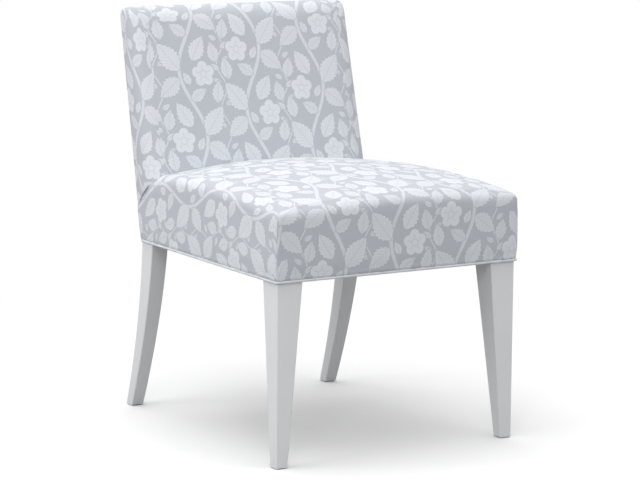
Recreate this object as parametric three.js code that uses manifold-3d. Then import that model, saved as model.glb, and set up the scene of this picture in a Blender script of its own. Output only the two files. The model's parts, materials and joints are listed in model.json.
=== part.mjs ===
// Slipper chair: an armless chair with a padded seat and back over a hardwood frame,
// a welt round the foot of the upholstery and four painted legs.
// Millimetres. X runs across the chair, with left as seen from the front at -X, and Z is up.
// Y runs from front to back. It starts at the front legs' faces, and the last step moves
// the whole chair so that the origin lies on the floor under the middle of its box.

import * as THREE from "three";
import { mergeVertices } from "three/addons/utils/BufferGeometryUtils.js";
import Module from "manifold-3d";

const wasm = await Module();
wasm.setup();

// Plan and heights of the whole chair
const frontWidth = 557;
const planTaper = 34;
const frameDepth = 584;
const legHeight = 365;
const chairHeight = 850;
const backLean = 95;

// Fits
const gap = 0.3;
const overrun = 12;
const weld = 0.0001;
const flatShare = 0.5;

// Front legs: square at the seat, tapered on their two inner faces
const frontLegTop = 57.5;
const frontLegFoot = 25.5;
const legChamfer = 1.6;
const shoulder = 3.5;

// Rear legs: sabre legs that sweep back below the seat and go on up as the back posts
const rearLegWidth = 38.5;
const rearFootWidth = 28;
const rearLegDepth = 45;
const rearFootDepth = 25.5;
const rearFootSweep = 82;
const rearFootDrawIn = 4;
const sabreBendHeight = 198;
const sabreBendSweep = 11.7;
const sabreSteps = 14;
const postDepth = 32;
const postNarrowingHeight = 16;
const postTopGap = 15;

// Glides nailed into the feet
const glideRadius = 8;
const glideThickness = 1.6;
const glideBevel = 0.5;
const glideNailRadius = 1.2;
const glideNailLength = 16;
const glideSides = 16;

// Rails of the seat and back, tenoned into the legs
const railHeight = 80;
const railThickness = 25;
const tenonLength = 20;
const tenonThickness = 10;
const tenonShoulder = 10;
const backRailThickness = 22;
const backTenonThickness = 9;
const crestRailHeight = 60;
const stayRailHeight = 48;
const stayRailBase = 505;

// Corner blocks, screwed to the rails
const blockReach = 58;
const blockHeight = 50;
const screwRadius = 2;
const screwHeadRadius = 4.2;
const screwHeadHeight = 2.6;
const screwInset = 24;
const screwSeat = 16;
const screwBite = 17;
const screwTip = 4;
const screwSides = 8;

// Sinuous springs across the seat, held by clips on the rails
const springCount = 4;
const springPitch = 92;
const wireRadius = 1.9;
const wireSides = 5;
const springWidth = 50;
const loopPitch = 30;
const bendSteps = 4;
const springArch = 14;
const clipThickness = 1.2;
const clipWidth = 14;
const clipTail = 8;
const clipLipTurn = Math.PI * 0.8;
const clipSteps = 8;

// Burlap deck over the springs
const deckThickness = 1.6;
const deckSideMargin = 30;
const deckEndMargin = 24;
const archSteps = 16;

// Webs across the back posts
const webCount = 3;
const webShare = 0.8;
const webThickness = 1.6;
const webSideMargin = 6;
const webEndMargin = 14;

// Upholstery cover and welt
const coverThickness = 2.5;
const coverProud = 3.5;
const weltRadius = 2.75;
const weltSides = 8;
const weltProud = 0.7;
const weltCornerRadius = 7;
const panelThickness = 3;
const dustCoverThickness = 0.8;
const dustCoverMargin = 6;

// Seat cushion: its crown, its fall to each edge and the swell of its sides
const seatThickness = 180;
const crownPlace = 345;
const frontFall = 25;
const creaseFall = 14;
const frontSideFall = 15.5;
const creaseSideFall = 22;
const seatEdgeRadius = 22;
const seatCornerRadius = 12;
const seatProud = 5.5;
const seatSwell = 2.5;

// Back cushion: its thickness at the crease and at the top, and its fall to each side
const backDepth = 88;
const backTopDepth = 66;
const backSideFall = 8;
const backEdgeRadius = 29;
const backCornerRadius = 20;
const backSwell = 1.5;

// Seam where the seat's side band runs under the back, from front to rear
const tuckFrontHeight = 497;
const tuckRearHeight = 437;

// Shares that shape the cushions
const fallPowerShare = 2.2;
const sidePowerShare = 1.7;
const cornerSofteningShare = 0.8;
const wallShares = [0, 0.33, 0.67, 1];
const edgeTurnShares = [0.33, 0.67, 1];
const crownShares = [0.78, 0.54, 0.28];
const cornerSteps = 3;
const sideSteps = 7;

// Heights and places that follow from the sizes above
const rearWidth = frontWidth - planTaper;
const rakeShare = backLean / (chairHeight - legHeight);
const railBase = legHeight + dustCoverThickness + gap;
const railTop = railBase + railHeight;
const coverBase = legHeight + 2 * weltRadius + gap;
const crownHeight = legHeight + seatThickness;
const creaseHeight = crownHeight - creaseFall;
const postTop = chairHeight - postTopGap;
const legBase = glideThickness + gap;
const backX = rearWidth / 2;
const postInnerX = backX - rearLegWidth;
const postFrontY = frameDepth - rearLegDepth;
const frontPostInner = frontLegTop - shoulder;
const frontFootSize = THREE.MathUtils.lerp(frontLegFoot, frontLegTop, legBase / legHeight);
const padInset = coverThickness + gap;
const beyond = frameDepth + seatThickness;
const wireClearRadius = wireRadius + gap;
const clipRadius = wireClearRadius + clipThickness;
const wireHeight = railTop + gap + clipRadius;

const left = -1;
const right = 1;

const paintedWood = { color: 0xd6d8da, roughness: 0.42, metalness: 0 };
const rawWood = { color: 0xc9a878, roughness: 0.75, metalness: 0 };
const fabric = { color: 0xc4c9ce, roughness: 0.9, metalness: 0 };
const piping = { color: 0xcfd3d7, roughness: 0.9, metalness: 0 };
const foam = { color: 0xece3c4, roughness: 1, metalness: 0 };
const burlap = { color: 0xb59a6c, roughness: 1, metalness: 0 };
const webbing = { color: 0x8b7a5c, roughness: 1, metalness: 0 };
const cambric = { color: 0x2b2b2d, roughness: 1, metalness: 0 };
const springSteel = { color: 0x6c7075, roughness: 0.4, metalness: 0.9 };
const zincSteel = { color: 0xb9bcc0, roughness: 0.35, metalness: 0.9 };
const nylon = { color: 0xd9d6cc, roughness: 0.5, metalness: 0 };

const chair = new THREE.Group();

// Solids and meshes

function toSolid(geometry) {
  const bare = geometry.clone();
  bare.deleteAttribute("normal");
  bare.deleteAttribute("uv");
  const merged = mergeVertices(bare, weld);
  const vertProperties = new Float32Array(merged.attributes.position.array);
  const triVerts = new Uint32Array(merged.index.array);
  return new wasm.Manifold(new wasm.Mesh({ numProp: 3, vertProperties, triVerts }));
}

function toGeometry(solid) {
  const mesh = solid.getMesh();
  const geometry = new THREE.BufferGeometry();
  geometry.setAttribute("position", new THREE.BufferAttribute(mesh.vertProperties, 3));
  geometry.setIndex(new THREE.BufferAttribute(mesh.triVerts, 1));
  return geometry;
}

function mirrored(geometry) {
  const other = geometry.clone();
  other.scale(-1, 1, 1);
  const index = other.index.array;
  for (let i = 0; i < index.length; i += 3) {
    [index[i], index[i + 1]] = [index[i + 1], index[i]];
  }
  return other;
}

function add(name, solid, finish, side = right) {
  const geometry = toGeometry(solid);
  const mesh = new THREE.Mesh(side === left ? mirrored(geometry) : geometry);
  mesh.material = new THREE.MeshStandardMaterial(finish);
  mesh.name = name;
  chair.add(mesh);
}

function addPair(name, solid, finish) {
  add(`${name}_left`, solid, finish, left);
  add(`${name}_right`, solid, finish);
}

// Basic forms

function extruded(points, depth) {
  const shape = new THREE.Shape(points.map(([a, b]) => new THREE.Vector2(a, b)));
  return new THREE.ExtrudeGeometry(shape, { depth, bevelEnabled: false });
}

// A prism along X whose outline is given as [y, z] points
function prismX(outline, fromX, toX) {
  const geometry = extruded(outline, toX - fromX);
  const turn = new THREE.Matrix4().makeBasis(
    new THREE.Vector3(0, 1, 0),
    new THREE.Vector3(0, 0, 1),
    new THREE.Vector3(1, 0, 0),
  );
  geometry.applyMatrix4(turn);
  geometry.translate(fromX, 0, 0);
  return toSolid(geometry);
}

// An upright prism whose outline is given as [x, y] points
function prismZ(outline, fromZ, toZ) {
  const geometry = extruded(outline, toZ - fromZ);
  geometry.translate(0, 0, fromZ);
  return toSolid(geometry);
}

// A turned piece about Z whose half outline is given as [radius, z] points
function turned(profile, sides) {
  const points = profile.map(([radius, z]) => new THREE.Vector2(radius, z));
  const geometry = new THREE.LatheGeometry(points, sides);
  geometry.rotateX(Math.PI / 2);
  return geometry;
}

function stitch(rings, closed) {
  const count = rings[0].length;
  const spans = closed ? rings.length : rings.length - 1;
  const faces = [];
  for (let j = 0; j < spans; j += 1) {
    const low = j * count;
    const high = ((j + 1) % rings.length) * count;
    for (let i = 0; i < count; i += 1) {
      const next = (i + 1) % count;
      faces.push(low + i, low + next, high + next);
      faces.push(low + i, high + next, high + i);
    }
  }
  return faces;
}

function bufferSolid(points, faces) {
  const geometry = new THREE.BufferGeometry().setFromPoints(points);
  geometry.setIndex(faces);
  return toSolid(geometry);
}

// A body skinned over rings of points that run counterclockwise seen from its top
function loft(rings, bottomCentre, topCentre) {
  const count = rings[0].length;
  const faces = stitch(rings, false);
  const points = rings.flat();
  const last = (rings.length - 1) * count;
  points.push(bottomCentre, topCentre);
  for (let i = 0; i < count; i += 1) {
    const next = (i + 1) % count;
    faces.push(points.length - 2, next, i);
    faces.push(points.length - 1, last + i, last + next);
  }
  return bufferSolid(points, faces);
}

// A round tube along points in a nearly level plane, closed on itself or capped. Its
// sections are turned by part of a side, so that a flat lies below.
function tube(path, radius, sides, closed) {
  const up = new THREE.Vector3(0, 0, 1);
  const rings = path.map((point, i) => {
    const before = path[closed ? (i + path.length - 1) % path.length : Math.max(i - 1, 0)];
    const after = path[closed ? (i + 1) % path.length : Math.min(i + 1, path.length - 1)];
    const along = after.clone().sub(before).normalize();
    const across = up.clone().cross(along).normalize();
    const lift = along.clone().cross(across);
    return Array.from({ length: sides }, (_, k) => {
      const turn = ((k + flatShare) / sides) * 2 * Math.PI;
      const ringPoint = point.clone();
      ringPoint.addScaledVector(across, radius * Math.cos(turn));
      ringPoint.addScaledVector(lift, radius * Math.sin(turn));
      return ringPoint;
    });
  });
  if (closed) {
    return bufferSolid(rings.flat(), stitch(rings, true));
  }
  return loft(rings, path[0].clone(), path[path.length - 1].clone());
}

// Lines that the pieces share

function sideX(y) {
  return THREE.MathUtils.lerp(frontWidth, rearWidth, y / frameDepth) / 2;
}

function frameX(y) {
  return sideX(y) - shoulder;
}

function rearY(z) {
  return frameDepth + (z - legHeight) * rakeShare;
}

function springZ(y) {
  const span = rearSpringY() - frontSpringY();
  const share = THREE.MathUtils.clamp((y - frontSpringY()) / span, 0, 1);
  return wireHeight + springArch * Math.sin(share * Math.PI);
}

function frontSpringY() {
  return shoulder + railThickness / 2;
}

function rearSpringY() {
  return rearY(railTop) - shoulder - railThickness / 2;
}

// A four-sided section of a leg with chamfered corners, its outer side along a line x(y)
function legRing(innerX, outerX, frontY, farY, z) {
  const chamfer = legChamfer;
  return [
    [innerX + chamfer, frontY],
    [outerX(frontY) - chamfer, frontY],
    [outerX(frontY + chamfer), frontY + chamfer],
    [outerX(farY - chamfer), farY - chamfer],
    [outerX(farY) - chamfer, farY],
    [innerX + chamfer, farY],
    [innerX, farY - chamfer],
    [innerX, frontY + chamfer],
  ].map(([x, y]) => new THREE.Vector3(x, y, z));
}

function ringCentre(ring) {
  const centre = new THREE.Vector3();
  ring.forEach((point) => centre.add(point));
  return centre.divideScalar(ring.length);
}

function loftRings(rings) {
  return loft(rings, ringCentre(rings[0]), ringCentre(rings[rings.length - 1]));
}

// Bars of the frame

// A bar across the chair that leans with the back, its rear face a depth in front of it
function leanBar(depth, thickness, fromZ, toZ, fromX, toX) {
  const outline = [
    [rearY(fromZ) - depth - thickness, fromZ],
    [rearY(fromZ) - depth, fromZ],
    [rearY(toZ) - depth, toZ],
    [rearY(toZ) - depth - thickness, toZ],
  ];
  return prismX(outline, fromX, toX);
}

// A level bar along the right side, its outer face a depth inside the frame's face
function sideBar(depth, thickness, fromY, toY, fromZ, toZ) {
  const outline = [
    [frameX(fromY) - depth - thickness, fromY],
    [frameX(fromY) - depth, fromY],
    [frameX(toY) - depth, toY],
    [frameX(toY) - depth - thickness, toY],
  ];
  return prismZ(outline, fromZ, toZ);
}

function frontBar(depth, thickness, halfLength, fromZ, toZ) {
  const outline = [
    [shoulder + depth, fromZ],
    [shoulder + depth + thickness, fromZ],
    [shoulder + depth + thickness, toZ],
    [shoulder + depth, toZ],
  ];
  return prismX(outline, -halfLength, halfLength);
}

// Tenons take the middle of each rail, and the mortises are the same bars grown by a fit
const tenonDepth = (railThickness - tenonThickness) / 2;
const backTenonDepth = (backRailThickness - backTenonThickness) / 2;
const frontRailHalf = frontWidth / 2 - frontPostInner - gap;
const rearRailHalf = postInnerX - gap;

function frontTenon(fit) {
  return frontBar(
    tenonDepth - fit,
    tenonThickness + 2 * fit,
    frontRailHalf + gap + tenonLength + fit,
    railBase + tenonShoulder - fit,
    railTop - tenonShoulder + fit,
  );
}

function sideTenon(fit) {
  return sideBar(
    tenonDepth - fit,
    tenonThickness + 2 * fit,
    frontPostInner - tenonLength - fit,
    postFrontY + tenonLength + fit,
    railBase + tenonShoulder - fit,
    railTop - tenonShoulder + fit,
  );
}

function leanTenon(rail, fit) {
  const reach = rearRailHalf + gap + tenonLength + fit;
  return leanBar(
    rail.depth + rail.tenonDepth - fit,
    rail.tenonThickness + 2 * fit,
    rail.base + tenonShoulder - fit,
    rail.top - tenonShoulder + fit,
    -reach,
    reach,
  );
}

function leanRail(rail) {
  const bar = leanBar(
    rail.depth,
    rail.thickness,
    rail.base,
    rail.top,
    -rearRailHalf,
    rearRailHalf,
  );
  return bar.add(leanTenon(rail, 0));
}

const rearRail = {
  depth: shoulder,
  thickness: railThickness,
  tenonDepth,
  tenonThickness,
  base: railBase,
  top: railTop,
};

const stayRail = {
  depth: shoulder + postDepth - backRailThickness,
  thickness: backRailThickness,
  tenonDepth: backTenonDepth,
  tenonThickness: backTenonThickness,
  base: stayRailBase,
  top: stayRailBase + stayRailHeight,
};

const crestRail = {
  depth: shoulder + postDepth - backRailThickness,
  thickness: backRailThickness,
  tenonDepth: backTenonDepth,
  tenonThickness: backTenonThickness,
  base: postTop - crestRailHeight,
  top: postTop,
};

// Legs and glides

function glide() {
  const profile = [
    [0, 0],
    [glideRadius - glideBevel, 0],
    [glideRadius, glideBevel],
    [glideRadius, glideThickness],
    [glideNailRadius, glideThickness],
    [glideNailRadius, glideThickness + glideNailLength - glideNailRadius],
    [0, glideThickness + glideNailLength],
  ];
  return turned(profile, glideSides);
}

function nailBore() {
  const bore = [
    [0, 0],
    [glideNailRadius + gap, 0],
    [glideNailRadius + gap, glideThickness + glideNailLength + gap],
    [0, glideThickness + glideNailLength + gap],
  ];
  return turned(bore, glideSides);
}

function placed(geometry, x, y) {
  const moved = geometry.clone();
  moved.translate(x, y, 0);
  return toSolid(moved);
}

function frontLeg() {
  const outer = frontWidth / 2;
  const seat = legHeight - gap;
  const postX = outer - frontPostInner;
  const rings = [
    legRing(outer - frontFootSize, sideX, 0, frontFootSize, legBase),
    legRing(outer - frontLegTop, sideX, 0, frontLegTop, seat),
    legRing(postX, frameX, shoulder, frontPostInner, seat),
    legRing(postX, frameX, shoulder, frontPostInner, railTop),
  ];
  return loftRings(rings)
    .subtract(placed(nailBore(), outer - frontFootSize / 2, frontFootSize / 2))
    .subtract(frontTenon(gap))
    .subtract(sideTenon(gap));
}

// Side view of the sabre leg's rear edge, from the floor to the seat
const sabreCurve = new THREE.QuadraticBezierCurve(
  new THREE.Vector2(frameDepth + rearFootSweep, 0),
  new THREE.Vector2(frameDepth + sabreBendSweep, sabreBendHeight),
  new THREE.Vector2(frameDepth, legHeight),
);

function sabreRing(share) {
  const point = sabreCurve.getPoint(share);
  const height = THREE.MathUtils.lerp(legBase, legHeight - gap, point.y / legHeight);
  const climb = point.y / legHeight;
  const outer = backX - rearFootDrawIn * (1 - climb);
  const width = THREE.MathUtils.lerp(rearFootWidth, rearLegWidth, climb);
  const depth = THREE.MathUtils.lerp(rearFootDepth, rearLegDepth, climb);
  return legRing(outer - width, () => outer, point.x - depth, point.x, height);
}

function postRing(z, frontY) {
  return legRing(postInnerX, () => backX - shoulder, frontY, rearY(z) - shoulder, z);
}

function rearPost() {
  const rings = [];
  for (let i = 0; i <= sabreSteps; i += 1) {
    rings.push(sabreRing(i / sabreSteps));
  }
  const narrowed = railTop + postNarrowingHeight;
  rings.push(postRing(legHeight - gap, postFrontY));
  rings.push(postRing(railTop, postFrontY));
  rings.push(postRing(narrowed, rearY(narrowed) - shoulder - postDepth));
  rings.push(postRing(postTop, rearY(postTop) - shoulder - postDepth));
  const foot = ringCentre(rings[0]);
  return loftRings(rings)
    .subtract(placed(nailBore(), foot.x, foot.y))
    .subtract(sideTenon(gap))
    .subtract(leanTenon(rearRail, gap))
    .subtract(leanTenon(stayRail, gap))
    .subtract(leanTenon(crestRail, gap));
}

function addLegs() {
  addPair("front_leg", frontLeg(), paintedWood);
  addPair("rear_leg_post", rearPost(), paintedWood);
  const rearFoot = ringCentre(sabreRing(0));
  const frontGlide = placed(glide(), frontWidth / 2 - frontFootSize / 2, frontFootSize / 2);
  const rearGlide = placed(glide(), rearFoot.x, rearFoot.y);
  addPair("front_glide", frontGlide, nylon);
  addPair("rear_glide", rearGlide, nylon);
}

// Corner blocks and their screws

const blockBase = railBase + (railHeight - blockHeight) / 2;
const blockTop = blockBase + blockHeight;
const blockMiddle = (blockBase + blockTop) / 2;

// The inner corners of the right half: where the post ends and which way the block faces
const frontCorner = {
  name: "front",
  facing: 1,
  postX: frontWidth / 2 - frontPostInner - gap,
  postY: frontPostInner + gap,
  railY: shoulder + railThickness + gap,
  railMiddleY: shoulder + railThickness + gap,
};

const rearCorner = {
  name: "rear",
  facing: -1,
  postX: postInnerX - gap,
  postY: postFrontY - gap,
  railY: rearY(blockTop) - shoulder - railThickness - gap,
  railMiddleY: rearY(blockMiddle) - shoulder - railThickness - gap,
};

// Inner face of the right side rail, less the fit of what bears on it
function sideFaceX(y) {
  return frameX(y) - railThickness - gap;
}

function screwPlaces(corner) {
  const sideScrewY = corner.postY + corner.facing * screwInset;
  return {
    rail: {
      place: [corner.postX - screwInset, corner.railMiddleY + corner.facing * screwSeat],
      aim: new THREE.Vector3(0, corner.facing, 0),
    },
    side: {
      place: [sideFaceX(sideScrewY) - screwSeat, sideScrewY],
      aim: new THREE.Vector3(left, 0, 0),
    },
  };
}

// Stands a turned piece at a screw's place with its own Z along the screw's aim
function aimed(geometry, screwPlace) {
  const up = new THREE.Vector3(0, 0, 1);
  const turn = new THREE.Quaternion().setFromUnitVectors(up, screwPlace.aim);
  const moved = geometry.clone().applyQuaternion(turn);
  const [x, y] = screwPlace.place;
  moved.translate(x, y, blockMiddle);
  return toSolid(moved);
}

// A screw's head bears at height zero of its own axis and its shank runs down from there
function screw() {
  const length = screwSeat + gap + screwBite;
  const profile = [
    [0, -length],
    [screwRadius, screwTip - length],
    [screwRadius, 0],
    [screwHeadRadius, 0],
    [screwHeadRadius, screwHeadHeight],
    [0, screwHeadHeight],
  ];
  return turned(profile, screwSides);
}

function screwBore() {
  const length = screwSeat + gap + screwBite + gap;
  const profile = [
    [0, -length],
    [screwRadius + gap, -length],
    [screwRadius + gap, -gap],
    [screwHeadRadius + gap, -gap],
    [screwHeadRadius + gap, blockReach],
    [0, blockReach],
  ];
  return turned(profile, screwSides);
}

function cornerBlock(corner) {
  const { facing, postX, postY, railY } = corner;
  const endY = postY + facing * blockReach;
  const outline = [
    [postX - blockReach, railY],
    [postX, railY],
    [postX, postY],
    [sideFaceX(postY), postY],
    [sideFaceX(endY), endY],
  ];
  const screws = screwPlaces(corner);
  return prismZ(outline, blockBase, blockTop)
    .subtract(behind(shoulder + railThickness + gap))
    .subtract(aimed(screwBore(), screws.rail))
    .subtract(aimed(screwBore(), screws.side));
}

function addCorners() {
  for (const corner of [frontCorner, rearCorner]) {
    const screws = screwPlaces(corner);
    addPair(`${corner.name}_corner_block`, cornerBlock(corner), rawWood);
    addPair(`${corner.name}_rail_screw`, aimed(screw(), screws.rail), zincSteel);
    addPair(`${corner.name}_side_screw`, aimed(screw(), screws.side), zincSteel);
  }
}

// Rails

function otherSide(solid) {
  return toSolid(mirrored(toGeometry(solid)));
}

function boredForRailScrews(rail, corner) {
  const bore = aimed(screwBore(), screwPlaces(corner).rail);
  return rail.subtract(bore).subtract(otherSide(bore));
}

function frontRail() {
  const bar = frontBar(0, railThickness, frontRailHalf, railBase, railTop);
  return boredForRailScrews(bar.add(frontTenon(0)), frontCorner);
}

function sideRail() {
  const bar = sideBar(
    0,
    railThickness,
    frontPostInner + gap,
    postFrontY - gap,
    railBase,
    railTop,
  );
  return bar
    .add(sideTenon(0))
    .subtract(aimed(screwBore(), screwPlaces(frontCorner).side))
    .subtract(aimed(screwBore(), screwPlaces(rearCorner).side));
}

function addRails() {
  add("front_seat_rail", frontRail(), rawWood);
  add("rear_seat_rail", boredForRailScrews(leanRail(rearRail), rearCorner), rawWood);
  addPair("side_seat_rail", sideRail(), rawWood);
  add("back_stay_rail", leanRail(stayRail), rawWood);
  add("back_crest_rail", leanRail(crestRail), rawWood);
}

// Springs, clips and deck

function springPath(x) {
  const span = rearSpringY() - frontSpringY();
  const count = Math.round(span / loopPitch);
  const bendRadius = span / count / 2;
  const reach = springWidth / 2 - bendRadius;
  const path = [];
  for (let k = 0; k <= count; k += 1) {
    const y = frontSpringY() + 2 * bendRadius * k;
    const side = k % 2 === 0 ? left : right;
    path.push(new THREE.Vector3(x - side * reach, y, springZ(y)));
    path.push(new THREE.Vector3(x + side * reach, y, springZ(y)));
    for (let i = 1; i < bendSteps && k < count; i += 1) {
      const turn = (i / bendSteps) * Math.PI;
      const bendX = x + side * (reach + bendRadius * Math.sin(turn));
      const bendY = y + bendRadius * (1 - Math.cos(turn));
      path.push(new THREE.Vector3(bendX, bendY, springZ(bendY)));
    }
  }
  return path;
}

// A steel strip with its tail on the rail, curled over the spring's end bar
function clip(x, barY, facing) {
  const outline = [[barY - facing * clipTail, wireHeight - clipRadius]];
  const inner = [[barY - facing * clipTail, wireHeight - wireClearRadius]];
  for (let i = 0; i <= clipSteps; i += 1) {
    const turn = (clipLipTurn + Math.PI / 2) * (i / clipSteps) - Math.PI / 2;
    const across = facing * Math.cos(turn);
    outline.push([barY + clipRadius * across, wireHeight + clipRadius * Math.sin(turn)]);
    inner.push([
      barY + wireClearRadius * across,
      wireHeight + wireClearRadius * Math.sin(turn),
    ]);
  }
  return prismX([...outline, ...inner.reverse()], x - clipWidth / 2, x + clipWidth / 2);
}

// Heights of the springs' backs, one for each step of the deck from front to rear
function archLine(rise) {
  const fromY = frontSpringY() + deckEndMargin;
  const toY = rearSpringY() - deckEndMargin;
  const line = [];
  for (let i = 0; i <= archSteps; i += 1) {
    const y = THREE.MathUtils.lerp(fromY, toY, i / archSteps);
    line.push([y, springZ(y) + wireRadius + gap + rise]);
  }
  return line;
}

function springDeck() {
  const outline = [...archLine(0), ...archLine(deckThickness).reverse()];
  const half = postInnerX - deckSideMargin;
  return prismX(outline, -half, half);
}

function addSprings() {
  for (let i = 0; i < springCount; i += 1) {
    const x = (i - (springCount - 1) / 2) * springPitch;
    add(`seat_spring_${i + 1}`, tube(springPath(x), wireRadius, wireSides, false), springSteel);
    add(`front_spring_clip_${i + 1}`, clip(x, frontSpringY(), 1), zincSteel);
    add(`rear_spring_clip_${i + 1}`, clip(x, rearSpringY(), -1), zincSteel);
  }
  add("spring_deck", springDeck(), burlap);
}

// Cushions

// Four rounded corners joined by straight sides, counterclockwise
function roundedRing(corners, radius) {
  const points = [];
  const toward = (from, to) => to.clone().sub(from).setLength(radius).add(from);
  corners.forEach((corner, i) => {
    const before = corners[(i + corners.length - 1) % corners.length];
    const after = corners[(i + 1) % corners.length];
    const leave = toward(corner, after);
    const arrive = toward(after, corner);
    const bend = new THREE.QuadraticBezierCurve(toward(corner, before), corner, leave);
    points.push(...bend.getPoints(cornerSteps));
    for (let s = 1; s < sideSteps; s += 1) {
      points.push(leave.clone().lerp(arrive, s / sideSteps));
    }
  });
  return points;
}

// Rings of a cushion whose skin lies an inset inside its outer face, from its wall to its
// crown. Each point holds its place in the cushion's plan and its height above the plan.
function cushionRings(cushion, inset, base, drop) {
  const { edgeRadius, cornerRadius, top, corners, centre } = cushion;
  const rings = [];
  const outline = (depth, swellShare) => {
    return roundedRing(corners(depth, swellShare), cornerRadius + depth * cornerSofteningShare);
  };
  for (const share of wallShares) {
    const ring = outline(inset, Math.sin((share * Math.PI) / 2));
    rings.push(ring.map(({ x, y }) => {
      return new THREE.Vector3(x, y, THREE.MathUtils.lerp(base, top(x, y) - edgeRadius, share));
    }));
  }
  if (drop > 0) {
    rings.unshift(rings[0].map((point) => new THREE.Vector3(point.x, point.y, base - drop)));
  }
  for (const share of edgeTurnShares) {
    const turn = (share * Math.PI) / 2;
    const radius = edgeRadius - inset;
    const ring = outline(edgeRadius - radius * Math.cos(turn), Math.cos(turn));
    const sink = edgeRadius - radius * Math.sin(turn);
    rings.push(ring.map(({ x, y }) => new THREE.Vector3(x, y, top(x, y) - sink)));
  }
  const rim = rings[rings.length - 1];
  for (const share of crownShares) {
    rings.push(rim.map((point) => {
      const x = THREE.MathUtils.lerp(centre.x, point.x, share);
      const y = THREE.MathUtils.lerp(centre.y, point.y, share);
      return new THREE.Vector3(x, y, top(x, y) - inset);
    }));
  }
  return rings;
}

function cushionSolid(cushion, inset, base, drop = 0) {
  const rings = cushionRings(cushion, inset, base, drop);
  const { centre, top, place } = cushion;
  const low = new THREE.Vector3(centre.x, centre.y, base - drop);
  const high = new THREE.Vector3(centre.x, centre.y, top(centre.x, centre.y) - inset);
  return loft(rings.map((ring) => ring.map(place)), place(low), place(high));
}

function fall(amount, share, power) {
  return amount * Math.abs(share) ** power;
}

// Height of the seat's skin: fullest behind its middle, lower to the front, sides and crease
function seatTop(x, y) {
  const toFront = Math.max(crownPlace - y, 0) / crownPlace;
  const toCrease = Math.max(y - crownPlace, 0) / (creaseY - crownPlace);
  const sideShare = Math.sin((y / creaseY) * (Math.PI / 2));
  const side = THREE.MathUtils.lerp(frontSideFall, creaseSideFall, sideShare);
  return crownHeight
    - fall(frontFall, toFront, fallPowerShare)
    - fall(creaseFall, toCrease, fallPowerShare)
    - fall(side, x / (sideX(y) + coverProud), sidePowerShare);
}

function backThickness(x, z) {
  const climb = (z - creaseHeight) / (chairHeight - creaseHeight);
  return THREE.MathUtils.lerp(backDepth, backTopDepth, climb)
    - fall(backSideFall, x / (backX + coverProud), fallPowerShare);
}

const creaseY = rearY(creaseHeight) - backDepth;
const seatEndY = frameDepth + seatEdgeRadius + backLean / 2;
const backRootHeight = tuckRearHeight - backEdgeRadius - overrun;

const seatCushion = {
  edgeRadius: seatEdgeRadius,
  cornerRadius: seatCornerRadius,
  centre: new THREE.Vector2(0, crownPlace),
  top: seatTop,
  place: (point) => point.clone(),
  corners: (inset, swellShare) => {
    const frontOut = seatProud + seatSwell * swellShare - inset;
    const frontX = sideX(0) + frontOut;
    const rearX = sideX(seatEndY) + coverProud - inset;
    return [
      new THREE.Vector2(frontX, -frontOut),
      new THREE.Vector2(rearX, seatEndY - inset),
      new THREE.Vector2(-rearX, seatEndY - inset),
      new THREE.Vector2(-frontX, -frontOut),
    ];
  },
};

// The back lies in its own plan of X and height, and its thickness comes forward of the rake
const backCushion = {
  edgeRadius: backEdgeRadius,
  cornerRadius: backCornerRadius,
  centre: new THREE.Vector2(0, (creaseHeight + chairHeight) / 2),
  top: backThickness,
  place: (point) => new THREE.Vector3(point.x, rearY(point.y) - point.z, point.y),
  corners: (inset, swellShare) => {
    const out = backSwell * swellShare - inset;
    const x = backX + coverProud + out;
    return [
      new THREE.Vector2(x, backRootHeight - out),
      new THREE.Vector2(x, chairHeight + out),
      new THREE.Vector2(-x, chairHeight + out),
      new THREE.Vector2(-x, backRootHeight - out),
    ];
  },
};

// Everything behind a plane that leans with the back, a depth in front of the outside back
function behind(depth) {
  const low = legHeight - overrun;
  const high = chairHeight + overrun;
  const outline = [
    [rearY(low) - depth, low],
    [beyond, low],
    [beyond, high],
    [rearY(high) - depth, high],
  ];
  return prismX(outline, -frontWidth, frontWidth);
}

// Height of the seam where the seat's side band meets the back
function tuckZ(y) {
  const share = (y - creaseY) / (rearY(tuckRearHeight) - creaseY);
  return THREE.MathUtils.lerp(tuckFrontHeight, tuckRearHeight, share);
}

function aboveTuck(fit) {
  const fromY = creaseY - backDepth;
  const outline = [
    [fromY, tuckZ(fromY) + fit],
    [beyond, tuckZ(beyond) + fit],
    [beyond, chairHeight + overrun],
    [fromY, chairHeight + overrun],
  ];
  return prismX(outline, -frontWidth, frontWidth);
}

// The room that the back takes out of the seat's cushion
function backSpace(fit) {
  const form = cushionSolid(backCushion, -fit, 0, overrun);
  return form.add(behind(backDepth - backSideFall - backEdgeRadius)).intersect(aboveTuck(-fit));
}

// Everything that the seat's foam goes round: the frame, with the deck on top
function frameSpace() {
  const farY = postFrontY + railThickness;
  const low = legHeight - overrun;
  const rise = deckThickness + gap;
  const endHeight = wireHeight + wireRadius + gap + rise;
  const side = [
    [-overrun, low],
    [farY, low],
    [farY, endHeight],
    ...archLine(rise).filter(([y]) => y < farY).reverse(),
    [-overrun, endHeight],
  ];
  const plan = [
    [frameX(shoulder) + gap, shoulder - gap],
    [frameX(farY) + gap, farY],
    [-frameX(farY) - gap, farY],
    [-frameX(shoulder) - gap, shoulder - gap],
  ];
  return prismX(side, -frontWidth, frontWidth).intersect(prismZ(plan, low, crownHeight));
}

// Everything rearward of the seat's foam, which stops at the back posts
function postSpace() {
  const outline = [
    [postFrontY - gap, legHeight - overrun],
    [beyond, legHeight - overrun],
    [beyond, chairHeight],
    [postFrontY - gap, chairHeight],
  ];
  return prismX(outline, -frontWidth, frontWidth);
}

function seatCover() {
  return cushionSolid(seatCushion, 0, coverBase)
    .subtract(cushionSolid(seatCushion, coverThickness, coverBase, overrun))
    .subtract(behind(0))
    .subtract(backSpace(gap));
}

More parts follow.
